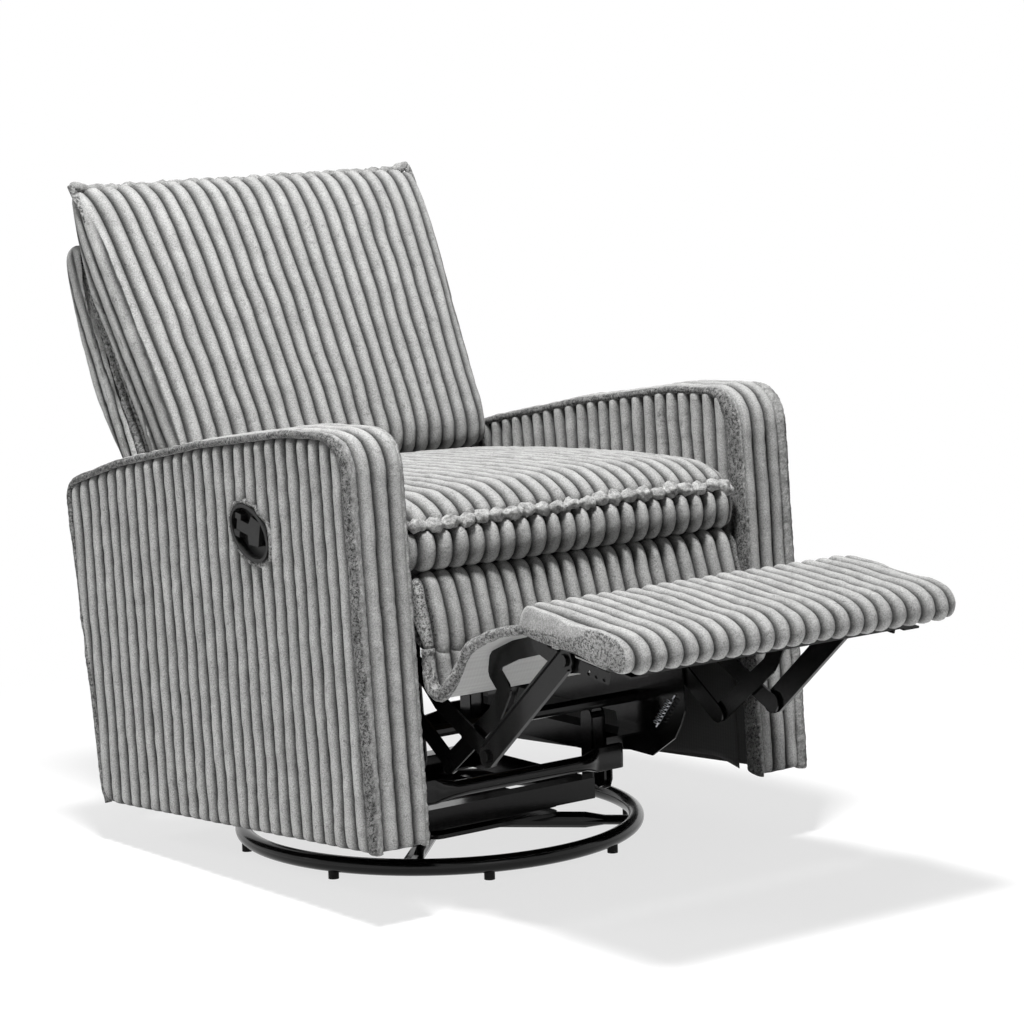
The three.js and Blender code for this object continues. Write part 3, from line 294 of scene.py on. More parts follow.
def rib_columns(lo, hi, ribs, per=12, crests=False):
    """Places across a run of ribs, dense in the grooves, and the height of the cord there, from 0 to 1.

    The run starts and ends in a groove, or on a crest where crests is set."""
    u = 0.5 * (1 - np.cos(np.pi * np.arange(per) / per))
    h = dome(u)
    pitch = (hi - lo) / ribs
    if crests:
        at = np.concatenate([lo + pitch * (r - 0.5 + u) for r in range(ribs + 1)])
        h = np.tile(h, ribs + 1)
        keep = (at > lo - 1e-6) & (at < hi + 1e-6)
        return at[keep], h[keep]
    at = np.concatenate([lo + pitch * (r + u) for r in range(ribs)] + [[hi]])
    return at, np.concatenate([np.tile(h, ribs), [0]])


RIBS = 22  # across the seat, the back and the footrest
DEPTH = 12  # of the grooves between ribs
SEAM = 14  # how far from a seam a rib reaches its full height
PLAIN_SEAM = 8  # the same where a cushion has no ribs
SIDE_RIB = 7  # how far the ribs on a cushion's ends stand out


def dense_loop(profile, step):
    """A closed side profile as an even line. Each profile point is (a, b, corner, ribbed from here, crown)."""
    count = len(profile)
    closed = list(profile) + [profile[0]]
    corners = [i for i in range(count + 1) if closed[i][2]]
    assert corners[0] == 0
    line, index = [], []
    for a, b in zip(corners[:-1], corners[1:]):
        pts, at = catmull([q[:2] for q in closed[a:b + 1]])
        even, reached, _ = resample(pts, step, a + at)
        line.append(even[:-1])
        index.append(reached[:-1])
    line, index = np.vstack(line), np.concatenate(index)
    length = distances(np.vstack([line, line[:1]]))
    total, at = length[-1], length[:-1]
    ribbed = np.array([q[3] for q in closed])[np.minimum(index.astype(int), count - 1)]
    crown = np.interp(index, np.arange(count + 1), [q[4] for q in closed])
    seams = [at[np.argmin(np.abs(index - i))] for i in corners[:-1]]
    away = np.min([np.minimum(np.abs(at - s), total - np.abs(at - s)) for s in seams], axis=0)
    return line, normals_of(line, True), at, ribbed, swelling(away, np.where(ribbed > 0, SEAM, PLAIN_SEAM)), crown


def cushion(name, half, profile, place, crown=0, drawn=14, bulge=8, widen=None, side_ribs=None, step=7, seed=0,
            rings=14, worn_side=0.0, worn_edge=0.0):
    """A stuffed piece as a run of ribs along X, with its two ends closed by soft sides.

    crown lifts its middle, drawn pulls its edges in near the ends, bulge swells the ends and widen gives the share
    of half at each place of the profile. side_ribs is the start and the width of ribs on the ends. worn_side and
    worn_edge crush the pile on the ends, and on a border of that width beside them."""
    line, normal, at, ribbed, full, swell = dense_loop(profile, step)
    x, h = rib_columns(-half, half, RIBS, crests=True)
    edge = np.abs(x) / half
    up = crown * np.sqrt(np.maximum(0, 1 - edge ** 2.4))
    off = up[:, None] * swell[None] - DEPTH * (1 - np.where(ribbed > 0, h[:, None], 1) * full[None])
    grid = np.zeros((len(x), len(line), 3))
    grid[..., 0] = x[:, None]
    where = np.stack([grid[..., 0], np.broadcast_to(at, grid.shape[:2]), np.zeros(grid.shape[:2])], -1)
    off += 0.8 * lumps(where, 12, seed) * (0.3 + 0.7 * h[:, None]) + 1.1 * lumps(where, 38, seed + 1)
    grid[..., 1:] = line[None] + normal[None] * off[..., None]
    centre = line.mean(0)
    inward = centre - grid[..., 1:]
    reach = np.linalg.norm(inward, axis=-1)
    pull = np.minimum(drawn * np.clip((edge - 0.93) / 0.07, 0, 1)[:, None] ** 2, reach * 0.4)
    grid[..., 1:] += inward * (pull / np.maximum(reach, 1e-6))[..., None]
    grid[..., 0] += 1.7 * lumps(where, 47, seed + 2) * (1 - edge[:, None] ** 8)
    widen = widen or (lambda line: np.ones(len(line)))
    grid[..., 0] *= widen(line)[None]
    rib = h[:, None] * (full * ribbed)[None] * np.ones(grid.shape[:2])
    first, last = grid[0], grid[-1]
    before, after, rib_side = [], [], []
    for k in range(1, rings):
        shrink = 1 - (k / rings) ** 1.15
        out = bulge * math.sqrt(1 - shrink ** 2) if shrink < 1 else 0
        for source, sign, store in ((first, -1, before), (last, 1, after)):
            ring = source.copy()
            ring[:, 1:] = centre + (source[:, 1:] - centre) * shrink
            extra = 0.8 * lumps(ring, 14, seed + 3)
            if side_ribs is not None:
                start, wide = side_ribs
                side_rib = dome(((ring[:, 2] - start) / wide) % 1, 2.2)
                extra = extra + SIDE_RIB * side_rib * min(1, 4 * (1 - shrink))
            ring[:, 0] = sign * (half * widen(ring[:, 1:]) + out + extra)
            store.append(ring)
            if sign > 0:
                rib_side.append(0.9 * np.ones(len(line)) if side_ribs is None else side_rib)
    grid = np.concatenate([np.array(before[::-1]), grid, np.array(after)])
    rib = np.concatenate([np.array(rib_side[::-1]), rib, np.array(rib_side)])
    worn = np.zeros(rib.shape)
    for rows_of in (slice(0, rings - 1), slice(len(grid) - rings + 1, len(grid))):
        below = (centre[1] + 14 - grid[rows_of][..., 2]) / 24
        worn[rows_of] = worn_side * smoothstep(0.6 * lumps(grid[rows_of], 50, seed + 5) + below, -0.2, 0.5)
    worn = np.maximum(worn, smoothstep(np.abs(grid[..., 0]), half - worn_edge, half - worn_edge + 3) * (worn_edge > 0))
    rows, cols = grid.shape[:2]
    faces = quads(rows, cols, wrap_cols=True) + fans(rows, cols)
    points = np.vstack([grid.reshape(-1, 3), grid[0].mean(0), grid[-1].mean(0)])
    return outward(make(name, place(points), faces, MAT["cloth"], np.append(rib, [0.7, 0.7]), np.append(worn, [0, 0])))


def face_panel(name, side, columns, heights, low, high, face, deep, round_top, seed=0, hole=None, rows=70):
    """Upright ribs on a flat side of the chair, with rounded ends, closed by a flat back. x is face on a crest and
    deep at the back. hole gives the distance from a hole's rim, where the ribs round off too."""
    ends = np.array([0, 0.7, 1.8, 3.4, 5.6, 8.4, 12, 17, 24])
    tall = high - low
    fit = np.minimum(1, tall / (2.4 * ends[-1]))
    z = [low + e * fit for e in ends]
    inner_low, inner_high = low + ends[-1] * fit, high - ends[-1] * fit
    z += [inner_low + (inner_high - inner_low) * k / rows for k in range(1, rows)]
    z += [high - e * fit for e in ends[::-1]]
    z = np.array(z).T
    full = swelling(high[:, None] - z, round_top) * swelling(z - low[:, None], 10)
    y = np.broadcast_to(columns[:, None], z.shape)
    if hole is not None:
        full = full * swelling(hole(y, z), 7)
    where = np.stack([y, z, np.full(z.shape, 50.0 * side)], -1)
    x = face - DEPTH * (1 - heights[:, None] * full) + 0.8 * lumps(where, 12, seed) + 0.8 * lumps(where, 38, seed + 1)
    y = y + 1.6 * lumps(where, 44, seed + 2) * np.minimum(1, (z - low[:, None]) / 30)
    front = np.stack([side * x, y, z], -1)
    faces = quads(*z.shape)
    loop = border(*z.shape)
    rim = front.reshape(-1, 3)[loop].copy()
    rim[:, 0] = side * deep
    under = list(range(z.size, z.size + len(loop)))
    faces += [list(corners) for corners in zip(loop, loop[1:] + loop[:1], under[1:] + under[:1], under)]
    faces.append(under[::-1])
    rib = np.append(heights[:, None] * full, np.zeros(len(loop)))
    return outward(make(name, body(np.vstack([front.reshape(-1, 3), rim])), faces, MAT["cloth"], rib))


def sweep(name, path, xs, offsets, rib):
    """A closed section carried along a path in the side view: xs across the chair, offsets out from the path."""
    path = np.asarray(path, float)
    normal = normals_of(path, False)
    grid = np.zeros((len(path), offsets.shape[1], 3))
    grid[..., 0] = xs
    grid[..., 1:] = path[:, None] + normal[:, None] * offsets[..., None]
    rows, cols = grid.shape[:2]
    faces = quads(rows, cols, wrap_cols=True) + caps(rows, cols)
    return outward(make(name, body(grid.reshape(-1, 3)), faces, MAT["cloth"], rib))


def ovals(t, across, flat, angles):
    """Rings of unit size round a line with tangents t, flat times as thick along across."""
    u = unit(across)
    flat = np.broadcast_to(flat, len(t))[:, None, None]
    return np.cos(angles)[None, :, None] * u[:, None] * flat + np.sin(angles)[None, :, None] * np.cross(t, u)[:, None]


def rope(name, points, radii, place, material, sides=14, flat=1.0, seed=0, rough=0.14, grain=9, up=(1, 0, 0),
         crushed=None):
    """A lumpy strip of cut pile along points: an oval, flat times as thick along up as it is across it.
    crushed, 1 or -1, is the side of up on which its pile is crushed."""
    p = np.asarray(points, float)
    r = np.broadcast_to(np.asarray(radii, float), len(p))
    t = tangents(p)
    u = np.broadcast_to(np.array(up, float), p.shape)
    a = np.linspace(0, 2 * np.pi, sides, endpoint=False)
    ring = ovals(t, u - t * np.sum(u * t, 1)[:, None], flat, a)
    base = p[:, None] + ring * r[:, None, None]
    swell = 1 + rough * lumps(base, grain, seed) + 0.6 * rough * lumps(base, grain / 2, seed + 1)
    grid = p[:, None] + ring * (r[:, None] * swell)[..., None]
    rows, cols = grid.shape[:2]
    faces = quads(rows, cols, wrap_cols=True) + fans(rows, cols)
    points = np.vstack([grid.reshape(-1, 3), p[:1], p[-1:]])
    rib = 0.84 + 0.2 * lumps(base, grain * 0.6, seed + 4)
    worn = np.zeros(rib.shape)
    if crushed is not None:
        lean = crushed * np.cos(a)[None] + 0.3 * lumps(base, 16, seed + 6)
        worn = smoothstep(lean, 0.1, 0.5)
        rib = rib - 0.14 * worn
    return outward(make(name, place(points), faces, material, np.append(rib, [0.8, 0.8]), np.append(worn, [0, 0])))


# Materials

class Nodes:
    """A node tree, with short ways to add to it."""

    def __init__(self, owner, output):
        owner.use_nodes = True
        self.tree = owner.node_tree
        self.tree.nodes.clear()
        self.out = self.add(output)

    def add(self, kind, **values):
        node = self.tree.nodes.new(kind)
        for key, value in values.items():
            setattr(node, key, value)
        return node

    def fill(self, node, **values):
        """Sets inputs of a node by their names, with _ for a space."""
        for key, value in values.items():
            node.inputs[key.replace("_", " ")].default_value = value
        return node

    def link(self, source, node, name):
        self.tree.links.new(source, node.inputs[name])

    def math(self, operation, a, b):
        node = self.add("ShaderNodeMath", operation=operation)
        for k, value in enumerate((a, b)):
            if isinstance(value, (int, float)):
                node.inputs[k].default_value = value
            else:
                self.link(value, node, k)
        return node.outputs[0]

    def times(self, a, b):
        return self.math("MULTIPLY", a, b)

    def plus(self, a, b):
        return self.math("ADD", a, b)

    def light(self, kind, strength=1.0):
        """A white light of its own, as an emission or a background."""
        return self.fill(self.add(kind), Color=(1, 1, 1, 1), Strength=strength).outputs[0]

    def blend(self, factor, a, b):
        """Mixes two shaders into the output."""
        node = self.add("ShaderNodeMixShader")
        for k, source in enumerate((factor, a, b)):
            self.link(source, node, k)
        self.link(node.outputs[0], self.out, 0)

    def seen(self):
        """1 for the rays that only see: the camera's, and those in metal and in glass."""
        rays = self.add("ShaderNodeLightPath").outputs
        return self.math("MAXIMUM", rays["Is Camera Ray"],
                         self.math("MAXIMUM", rays["Is Glossy Ray"], rays["Is Transmission Ray"]))


class Finish(Nodes):
    """A material."""

    def __init__(self, name):
        self.mat = bpy.data.materials.new(name)
        super().__init__(self.mat, "ShaderNodeOutputMaterial")
        self.shader = self.add("ShaderNodeBsdfPrincipled")
        self.link(self.shader.outputs[0], self.out, 0)
        self.where = self.add("ShaderNodeTexCoord").outputs["Object"]

    def set(self, **values):
        self.fill(self.shader, **values)

    def noise(self, scale, detail=2.0, roughness=0.55, stretch=None, distortion=0.0):
        node = self.fill(self.add("ShaderNodeTexNoise"), Scale=scale, Detail=detail, Roughness=roughness,
                         Distortion=distortion)
        where = self.where
        if stretch:
            mapping = self.fill(self.add("ShaderNodeMapping"), Scale=stretch)
            self.link(where, mapping, "Vector")
            where = mapping.outputs[0]
        self.link(where, node, "Vector")
        return node.outputs[0]

    def ramp(self, source, *stops):
        node = self.add("ShaderNodeValToRGB")
        elements = node.color_ramp.elements
        while len(elements) < len(stops):
            elements.new(0.5)
        for element, (at, value) in zip(elements, stops):
            element.position = at
            element.color = value if isinstance(value, tuple) else (value, value, value, 1)
        self.link(source, node, "Fac")
        return node.outputs[0]

    def mix(self, factor, a, b, blend="MIX"):
        node = self.add("ShaderNodeMix", data_type="RGBA", blend_type=blend)
        for name, value in (("Factor", factor), ("A", a), ("B", b)):
            socket = next(s for s in node.inputs if s.name == name and s.enabled)
            if hasattr(value, "links"):
                self.tree.links.new(value, socket)
            else:
                socket.default_value = value
        return next(s for s in node.outputs if s.enabled)

    def bump(self, height, strength, distance):
        node = self.fill(self.add("ShaderNodeBump"), Strength=strength, Distance=distance)
        self.link(height, node, "Height")
        self.link(node.outputs[0], self.shader, "Normal")


def grey(value):
    return (value, value, value * 0.985, 1)


def plush(name, light=0.37, crushed=0.0, groove=0.07, fuzz=0.0016, grain=1.0):
    """Long-pile corduroy: soft light ribs, brushed patches, dark specks where the pile parts, and painted shade in the
    grooves.

    crushed adds specks, groove is how much colour the painted shade leaves in the grooves, fuzz is the height of the
    pile and grain the fineness of it."""
    m = Finish(name)
    patches = m.ramp(m.noise(24, 2, 0.5, distortion=0.4), (0.32, 0.0), (0.7, 1.0))
    fine = m.noise(520 * grain, 3, 0.72)
    hair = m.noise(1500, 2, 0.7)
    specks = m.ramp(m.noise(310 * grain, 3, 0.75), (0.44, 1.0), (0.5, 0.0))
    tone = m.mix(m.times(patches, 0.7), grey(light * 1.1), grey(light * 0.8))
    tone = m.mix(1.0, tone, m.ramp(fine, (0.34, 0.6), (0.5, 0.97), (0.68, 1.3)), "MULTIPLY")
    tone = m.mix(0.6, tone, m.ramp(hair, (0.3, 0.7), (0.7, 1.25)), "MULTIPLY")
    rib = m.add("ShaderNodeAttribute", attribute_name="rib").outputs["Fac"]
    worn = m.add("ShaderNodeAttribute", attribute_name="worn").outputs["Fac"]
    sparse = m.ramp(m.noise(60, 2, 0.6), (0.56, 0.1 + crushed), (0.8, 0.75 + crushed))
    where_parted = m.math("MINIMUM", m.math("MAXIMUM", sparse, worn), 1.0)
    parted = m.times(where_parted, specks)
    tone = m.mix(m.times(parted, 0.9), tone, grey(light * 0.14))
    # Painted shade: the colour darkens from the crests down the flanks into the grooves, by the rib attribute.
    painted_groove_shade = m.ramp(rib, (0.0, groove), (0.45, 0.5 * groove + 0.14), (0.66, 0.42), (0.85, 0.76), (0.98, 1.0))
    m.link(m.mix(1.0, tone, painted_groove_shade, "MULTIPLY"), m.shader, "Base Color")
    m.set(Roughness=0.9, Sheen_Weight=0.12, Sheen_Roughness=0.5, Specular_IOR_Level=0.1)
    pile = m.plus(fine, m.times(hair, 0.35))
    pile = m.plus(pile, m.times(m.noise(190, 2, 0.5), 0.8))
    m.bump(m.math("SUBTRACT", pile, m.times(parted, 0.8)), 0.85, fuzz)
    return m.mat


def painted(name, tone=0.003, rough=0.17):
    """Black gloss paint on steel, with a faint orange peel, handling marks and a little dust."""
    m = Finish(name)
    marks = m.ramp(m.noise(60, 4, 0.7), (0.35, rough * 0.85), (0.75, rough * 1.2))
    m.link(marks, m.shader, "Roughness")
    dust = m.ramp(m.noise(190, 3, 0.7), (0.45, 0.0), (0.95, 1.0))
    m.link(m.mix(m.times(dust, 0.2), grey(tone), grey(tone * 2)), m.shader, "Base Color")
    m.set(Coat_Weight=0.08, Coat_Roughness=0.1, Specular_IOR_Level=0.24)
    m.bump(m.noise(900, 2, 0.5), 0.35, 0.0001)
    return m.mat


def plywood(name):
    """Bare plywood, with its grain along X."""
    m = Finish(name)
    grain = m.noise(9, 5, 0.65, stretch=(2, 30, 30), distortion=0.8)
    fine = m.noise(160, 3, 0.6, stretch=(1, 9, 9))
    tone = m.mix(m.ramp(grain, (0.3, 0.0), (0.7, 1.0)), (0.55, 0.38, 0.2, 1), (0.38, 0.24, 0.11, 1))
    tone = m.mix(m.times(fine, 0.4), tone, (0.25, 0.15, 0.07, 1))
    m.link(tone, m.shader, "Base Color")
    m.set(Roughness=0.7)
    m.bump(fine, 0.3, 0.0004)
    return m.mat


def zinc(name):
    """Zinc plate, dull in spots."""
    m = Finish(name)
    spots = m.ramp(m.noise(240, 3, 0.6), (0.3, 0.22), (0.8, 0.46))
    m.link(spots, m.shader, "Roughness")
    m.link(m.mix(m.noise(90, 3, 0.6), (0.62, 0.63, 0.66, 1), (0.42, 0.43, 0.46, 1)), m.shader, "Base Color")
    m.set(Metallic=1.0)
    m.bump(m.noise(1200, 2, 0.5), 0.2, 0.0001)
    return m.mat


def woven(name, tone, light):
    """Thin cloth with a fine plain weave."""
    m = Finish(name)
    weave = 0.0
    for direction in ("X", "Y", "Z"):
        wave = m.add("ShaderNodeTexWave", wave_type="BANDS", bands_direction=direction)
        m.fill(wave, Scale=55, Distortion=0.6, Detail=1.0)
        m.link(m.where, wave, "Vector")
        weave = m.plus(weave, wave.outputs["Fac"])
    weave = m.plus(m.times(weave, 0.34), m.times(m.noise(300, 3, 0.6), 0.3))
    tint = m.plus(m.times(weave, 0.5), m.times(m.noise(14, 3, 0.6), 0.5))
    m.link(m.mix(tint, grey(tone), grey(light)), m.shader, "Base Color")
    m.set(Roughness=0.85, Sheen_Weight=0.15)
    m.bump(weave, 0.5, 0.0005)
    return m.mat


def moulded(name, tone=0.008, rough=0.36):
    """Moulded black plastic with a fine leathery grain."""
    m = Finish(name)
    cells = m.fill(m.add("ShaderNodeTexVoronoi"), Scale=900)
    m.link(m.where, cells, "Vector")
    m.link(m.ramp(m.noise(40, 3, 0.6), (0.3, rough * 0.8), (0.8, rough * 1.3)), m.shader, "Roughness")
    m.link(m.mix(m.noise(25, 3, 0.6), grey(tone), grey(tone * 2.0)), m.shader, "Base Color")
    m.set(Specular_IOR_Level=0.2)
    m.bump(cells.outputs["Distance"], 0.25, 0.0002)
    return m.mat


MAT = {
    "cloth": plush("corduroy_plush"),
    "crushed": plush("corduroy_crushed_edge", light=0.38, crushed=0.8, groove=0.5, fuzz=0.0024, grain=0.8),
    "tufted": plush("corduroy_tufts", light=0.5, crushed=0.05, groove=0.3, fuzz=0.0024, grain=0.8),
    "backing": woven("flap_backing_cloth", 0.3, 0.42),
    "lining": woven("black_lining_cloth", 0.006, 0.02),
    "paint": painted("black_gloss_paint"),
    "wood": plywood("raw_plywood"),
    "zinc": zinc("zinc_plated_steel"),
    "plastic": moulded("black_moulded_plastic"),
    "rubber": moulded("black_rubber", 0.01, 0.7),
}
BY_SLOT = {"corduroy": "cloth", "black_cloth": "lining", "black_metal": "paint", "spring_steel": "zinc",
           "black_plastic": "plastic", "rubber": "rubber", "plywood": "wood"}
COVERED = ("footrest_board", "arm_frame_r", "arm_frame_l", "back_frame")  # boards stapled over with black lining
EDGE = 0.0006  # the softened edges of metal and plastic
for part in frame["record"]["subparts"]:
    node = frame["nodes"][part["node"]]
    node.material_slots[0].link = "OBJECT"
    node.material_slots[0].material = MAT["lining" if part["node"] in COVERED else BY_SLOT[part["material_slot"]]]
    if part["material_slot"] in ("black_metal", "black_plastic"):
        bevel = node.modifiers.new("soft_edges", "BEVEL")
        bevel.width = EDGE
        bevel.segments = 2
        bevel.limit_method = "ANGLE"
        bevel.angle_limit = math.radians(40)


def dress(obj, rides, *nodes, slot="corduroy", fill=None):
    """Ties a finished piece to its body and hides the CAD nodes that it stands for. slot, its material slot, is not
    used.
    """
    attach(obj, rides)
    if nodes:
        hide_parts(*nodes)
    return obj


# Seat

SEAT_HALF, APRON_HALF, FOOT_HALF = 296, 292, 292

# Profiles are closed, as (y, z, seam here, ribbed from here, share of the crown), or (up, rear, ...) on the back.
SEAT_PROFILE = [
    (-379, 451, 1, 1, 0), (-391, 466, 0, 1, 0.6), (-395, 484, 0, 1, 0.9), (-393, 502, 0, 1, 0.8),
    (-385, 516, 1, 1, 0.6), (-377, 530, 0, 1, 0.8), (-343, 547, 0, 1, 1), (-270, 554, 0, 1, 1), (-200, 557, 0, 1, 1),
    (-70, 559, 0, 1, 1), (60, 559, 0, 1, 1), (150, 555, 0, 1, 1), (190, 545, 0, 1, 0.8), (203, 520, 1, 0, 0),
    (199, 458, 1, 0, 0),
]
seat = cushion("seat_cushion_cloth", SEAT_HALF, SEAT_PROFILE, body, crown=19, seed=10)
dress(seat, "seat_body", "seat_cushion", fill=0.75)

APRON_PROFILE = [
    (-347, 457, 1, 0, 0), (-376, 462, 1, 1, 0), (-396, 447, 0, 1, 0), (-407, 415, 0, 1, 0), (-415, 382, 0, 1, 0),
    (-417, 352, 0, 1, 0), (-412, 337, 0, 1, 0), (-404, 336, 1, 0, 0), (-350, 366, 1, 0, 0),
]
apron = cushion("seat_apron_cloth", APRON_HALF, APRON_PROFILE, body, seed=20, bulge=3, worn_edge=18)
dress(apron, "seat_body", "seat_apron", fill=0.6)

FOOT_PROFILE = [
    (-613, 388, 1, 1, 0), (-617, 408, 0, 1, 0), (-633, 427, 0, 1, 0), (-665, 425, 0, 1, 0), (-700, 421, 0, 1, 0),
    (-770, 409, 0, 1, 0), (-828, 398, 0, 1, 0), (-850, 384, 0, 1, 0), (-856, 364, 0, 1, 0), (-846, 348, 0, 1, 0),
    (-822, 346, 1, 0, 0),
]
pad = cushion("footrest_pad_cloth", FOOT_HALF, FOOT_PROFILE, body, seed=30, bulge=4, drawn=8, step=6, worn_side=1.0)
dress(pad, "footrest", "footrest_pad", fill=0.8)


def tufts(place_at, pitch, seed, wide, thin):
    """A seam allowance squeezed between ribs: one lumpy tuft to each rib."""
    along = np.arange(0, RIBS * pitch + 2.4, 2.4)
    r = thin + (wide - thin) * np.abs(np.sin(np.pi * ((along / pitch) % 1))) ** 0.7
    return place_at(along / (RIBS * pitch)), r * (1 + 0.15 * ripple(along, 19, seed))


def seat_fringe_path(share):
    """The seam round the cushion's front, lifted with its crown and drooping at its far end."""
    x = -SEAT_HALF + 4 + share * (2 * SEAT_HALF - 8)
    edge = np.abs(x) / SEAT_HALF
    rise = 11 * np.sqrt(np.maximum(0, 1 - edge ** 2.4))
    wave = 2.2 * ripple(x, 17, 5)
    droop = 11 * smoothstep(x, 268, 292)
    return np.stack([x, -385 - rise * 0.9 + 4 * edge ** 8 - 0.3 * droop + wave, 519 + rise * 0.35 - droop + wave], -1)


path, radii = tufts(seat_fringe_path, 27, 6, wide=10.5, thin=3.6)
fringe = rope("seat_fringe", path, radii, body, MAT["tufted"], sides=20, seed=7, rough=0.34, grain=6, up=(0, 1, 0),
              flat=1.2)
dress(fringe, "seat_body", fill=0.5)

# Back

BACK_HALF, BACK_TOP_HALF = 297, 316
BACK_LOW_SHARE = 0.962  # of BACK_HALF, between the arms
BACK_PROFILE = [
    (-34, 53.7, 1, 0, 0), (-38, 12, 1, 1, 0), (-34, -18, 0, 1, 0.5), (-8, -32, 0, 1, 1), (40, -37, 0, 1, 1),
    (190, -38, 0, 1, 1), (300, -36, 0, 1, 1), (380, -31, 0, 1, 1), (425, -23, 0, 1, 0.8), (449, -12, 0, 1, 0.4),
    (460, -3, 1, 1, 0), (452, 9, 0, 1, 0.2), (405, 31, 0, 1, 0.2), (330, 53.7, 1, 0, 0), (120, 53.7, 1, 0, 0),
]


def back_wide(up):
    """The share of BACK_HALF at each height: narrow between the arms, and wider up to the top."""
    return BACK_LOW_SHARE + (BACK_TOP_HALF / BACK_HALF - BACK_LOW_SHARE) * np.clip((up - 70) / 380, 0, 1)


back_cushion = cushion("back_cushion_cloth", BACK_HALF, BACK_PROFILE, back, crown=16, seed=40,
                       widen=lambda line: back_wide(line[:, 0]), side_ribs=(-30, 27), bulge=6, drawn=8, rings=18)
dress(back_cushion, "back", "back_cushion", fill=0.75)

COVER_PROFILE = [
    (-116, 70.6, 1, 0, 0), (-112, 92, 0, 1, 0), (48, 122, 0, 1, 0), (146, 144, 0, 1, 0), (279, 134, 0, 1, 0),
    (370, 117, 0, 1, 0), (398, 104, 0, 1, 0), (404, 84, 0, 1, 0), (394, 62, 0, 1, 0), (376.5, 58, 1, 0, 0),
    (376.5, 70.6, 1, 0, 0),
]
cover = cushion("back_cover_cloth", BACK_HALF, COVER_PROFILE, back, seed=50, side_ribs=(58, 27), bulge=1, drawn=10,
                rings=18)
dress(cover, "back", "back_cover", fill=0.7)


def back_edge_path(side, deep_at, out, end):
    """A line up the cushion's side: how deep it lies at five heights, and how far out near its upper end."""
    up = np.arange(-30, end, 2.6)
    half = BACK_HALF * back_wide(up) + np.interp(up, [300, 380, 450], out)
    deep = np.interp(up, [-30, 0, 60, 380, 430, 462], deep_at)
    wave = 1.2 * ripple(up, 30, 8, side * 40)
    return np.stack([side * (half + 0.5 * wave), up, deep + wave], -1)


def back_cover_path(side):
    """A line up the seam between the cover and the cushion."""
    up = np.arange(-100, 372, 2.6)
    return np.stack([side * (289.5 + 0.6 * ripple(up, 20, 3)), up, np.interp(up, [300, 372], [70.0, 74.0])], -1)


def back_top_path(share):
    """The seam along the cushion's top, with its two corners drawn up."""
    x = (2 * share - 1) * (BACK_TOP_HALF + 3)
    wave = 1.2 * ripple(x, 26, 9)
    return np.stack([x, 453 + 9 * (np.abs(x) / BACK_TOP_HALF) ** 14 + wave, -3 + wave], -1)


TURNED = {"flat": 0.8, "up": (0, 0, 1)}
for side, tag in SIDES:
    for name, p, size, bumps, seed, look in (
        ("back_edge_strip", back_edge_path(side, [-4, -12, -15, -13, -9, -3], (0.5, 0.5, 3), 463), 6, 12, 60, TURNED),
        ("back_rear_strip", back_edge_path(side, [46, 51, 53, 34, 19, 4], (0.5, -9, -18), 440), 7.6, 12, 60, TURNED),
        ("back_cover_strip", back_cover_path(side), 9, 13, 66, {}),
    ):
        strip = rope(f"{name}_{tag}", p, size + 0.7 * lumps(p, 14, bumps), back, MAT["crushed"], seed=seed + side,
                     rough=0.12, grain=6, **look)
        dress(strip, "back", fill=0.5)

path, radii = tufts(back_top_path, 28, 13, wide=8.2, thin=5)
fringe = rope("back_top_fringe", path, radii, back, MAT["cloth"], seed=64, rough=0.2, grain=7, up=(0, 0, 1))
dress(fringe, "back", fill=0.5)

# Arms

ARM_OUT, ARM_IN = 402, 301
ARM_CORNERS = [(-406.5, 78), (-402, 661), (-249.7, 664), (-20.2, 643.5), (211.5, 610.7), (366, 576), (324.3, 78)]
ARM_ROUND = [8, 66, 300, 300, 200, 44, 34]
ARM_FRONT = ARM_CORNERS[1][0]
RIB_WIDE = 28  # on the arm's outer face
STRIP_TURN = (-392, -330)  # where the edge strips change from their size up the front to that over the top
OUTER_STRIP, INNER_STRIP = (10.5, 5.5), (17, 6)  # half widths up the front and over the top
BEZEL = np.array([-148, 515])
BEZEL_LONG, BEZEL_WIDE = 52, 36  # half lengths
BEZEL_TILT = math.radians(33)


def arm_shape(distance):
    return rounded(inset(ARM_CORNERS, distance), [max(r - distance, 1) for r in ARM_ROUND])


def arm_line(distance, step):
    """The arm's edge from its front foot up, over the top and down to its rear foot, drawn in by a distance."""
    shape = arm_shape(distance)
    count = len(shape) // len(ARM_CORNERS)
    line = shape[count // 2:len(shape) - count // 2]
    line[0] = (line[0][0], ARM_CORNERS[0][1] + 1)
    line[-1] = (line[-1][0], ARM_CORNERS[0][1] + 1)
    return resample(line, step)[0]


def off_bezel(y, z):
    """How far a point of the arm's face is from the handle's oval."""
    c, s = math.cos(BEZEL_TILT), math.sin(BEZEL_TILT)
    y, z = y - BEZEL[0], z - BEZEL[1]
    u, v = y * c + z * s, z * c - y * s
    return np.hypot(u, v) * (1 - 1 / np.maximum(np.hypot(u / BEZEL_LONG, v / BEZEL_WIDE), 0.1))


def bezel_oval(x, angles, out):
    """Points round the handle's oval, drawn out by a distance."""
    c, s = math.cos(BEZEL_TILT), math.sin(BEZEL_TILT)
    u, v = np.cos(angles) * (BEZEL_LONG + out), np.sin(angles) * (BEZEL_WIDE + out)
    return np.stack([np.full(len(angles), x), BEZEL[0] + u * c - v * s, BEZEL[1] + u * s + v * c], -1)


def strip_radius(line, front, top):
    """The half width of an edge strip along the arm's edge."""
    return front + (top - front) * smoothstep(line[:, 0], *STRIP_TURN)


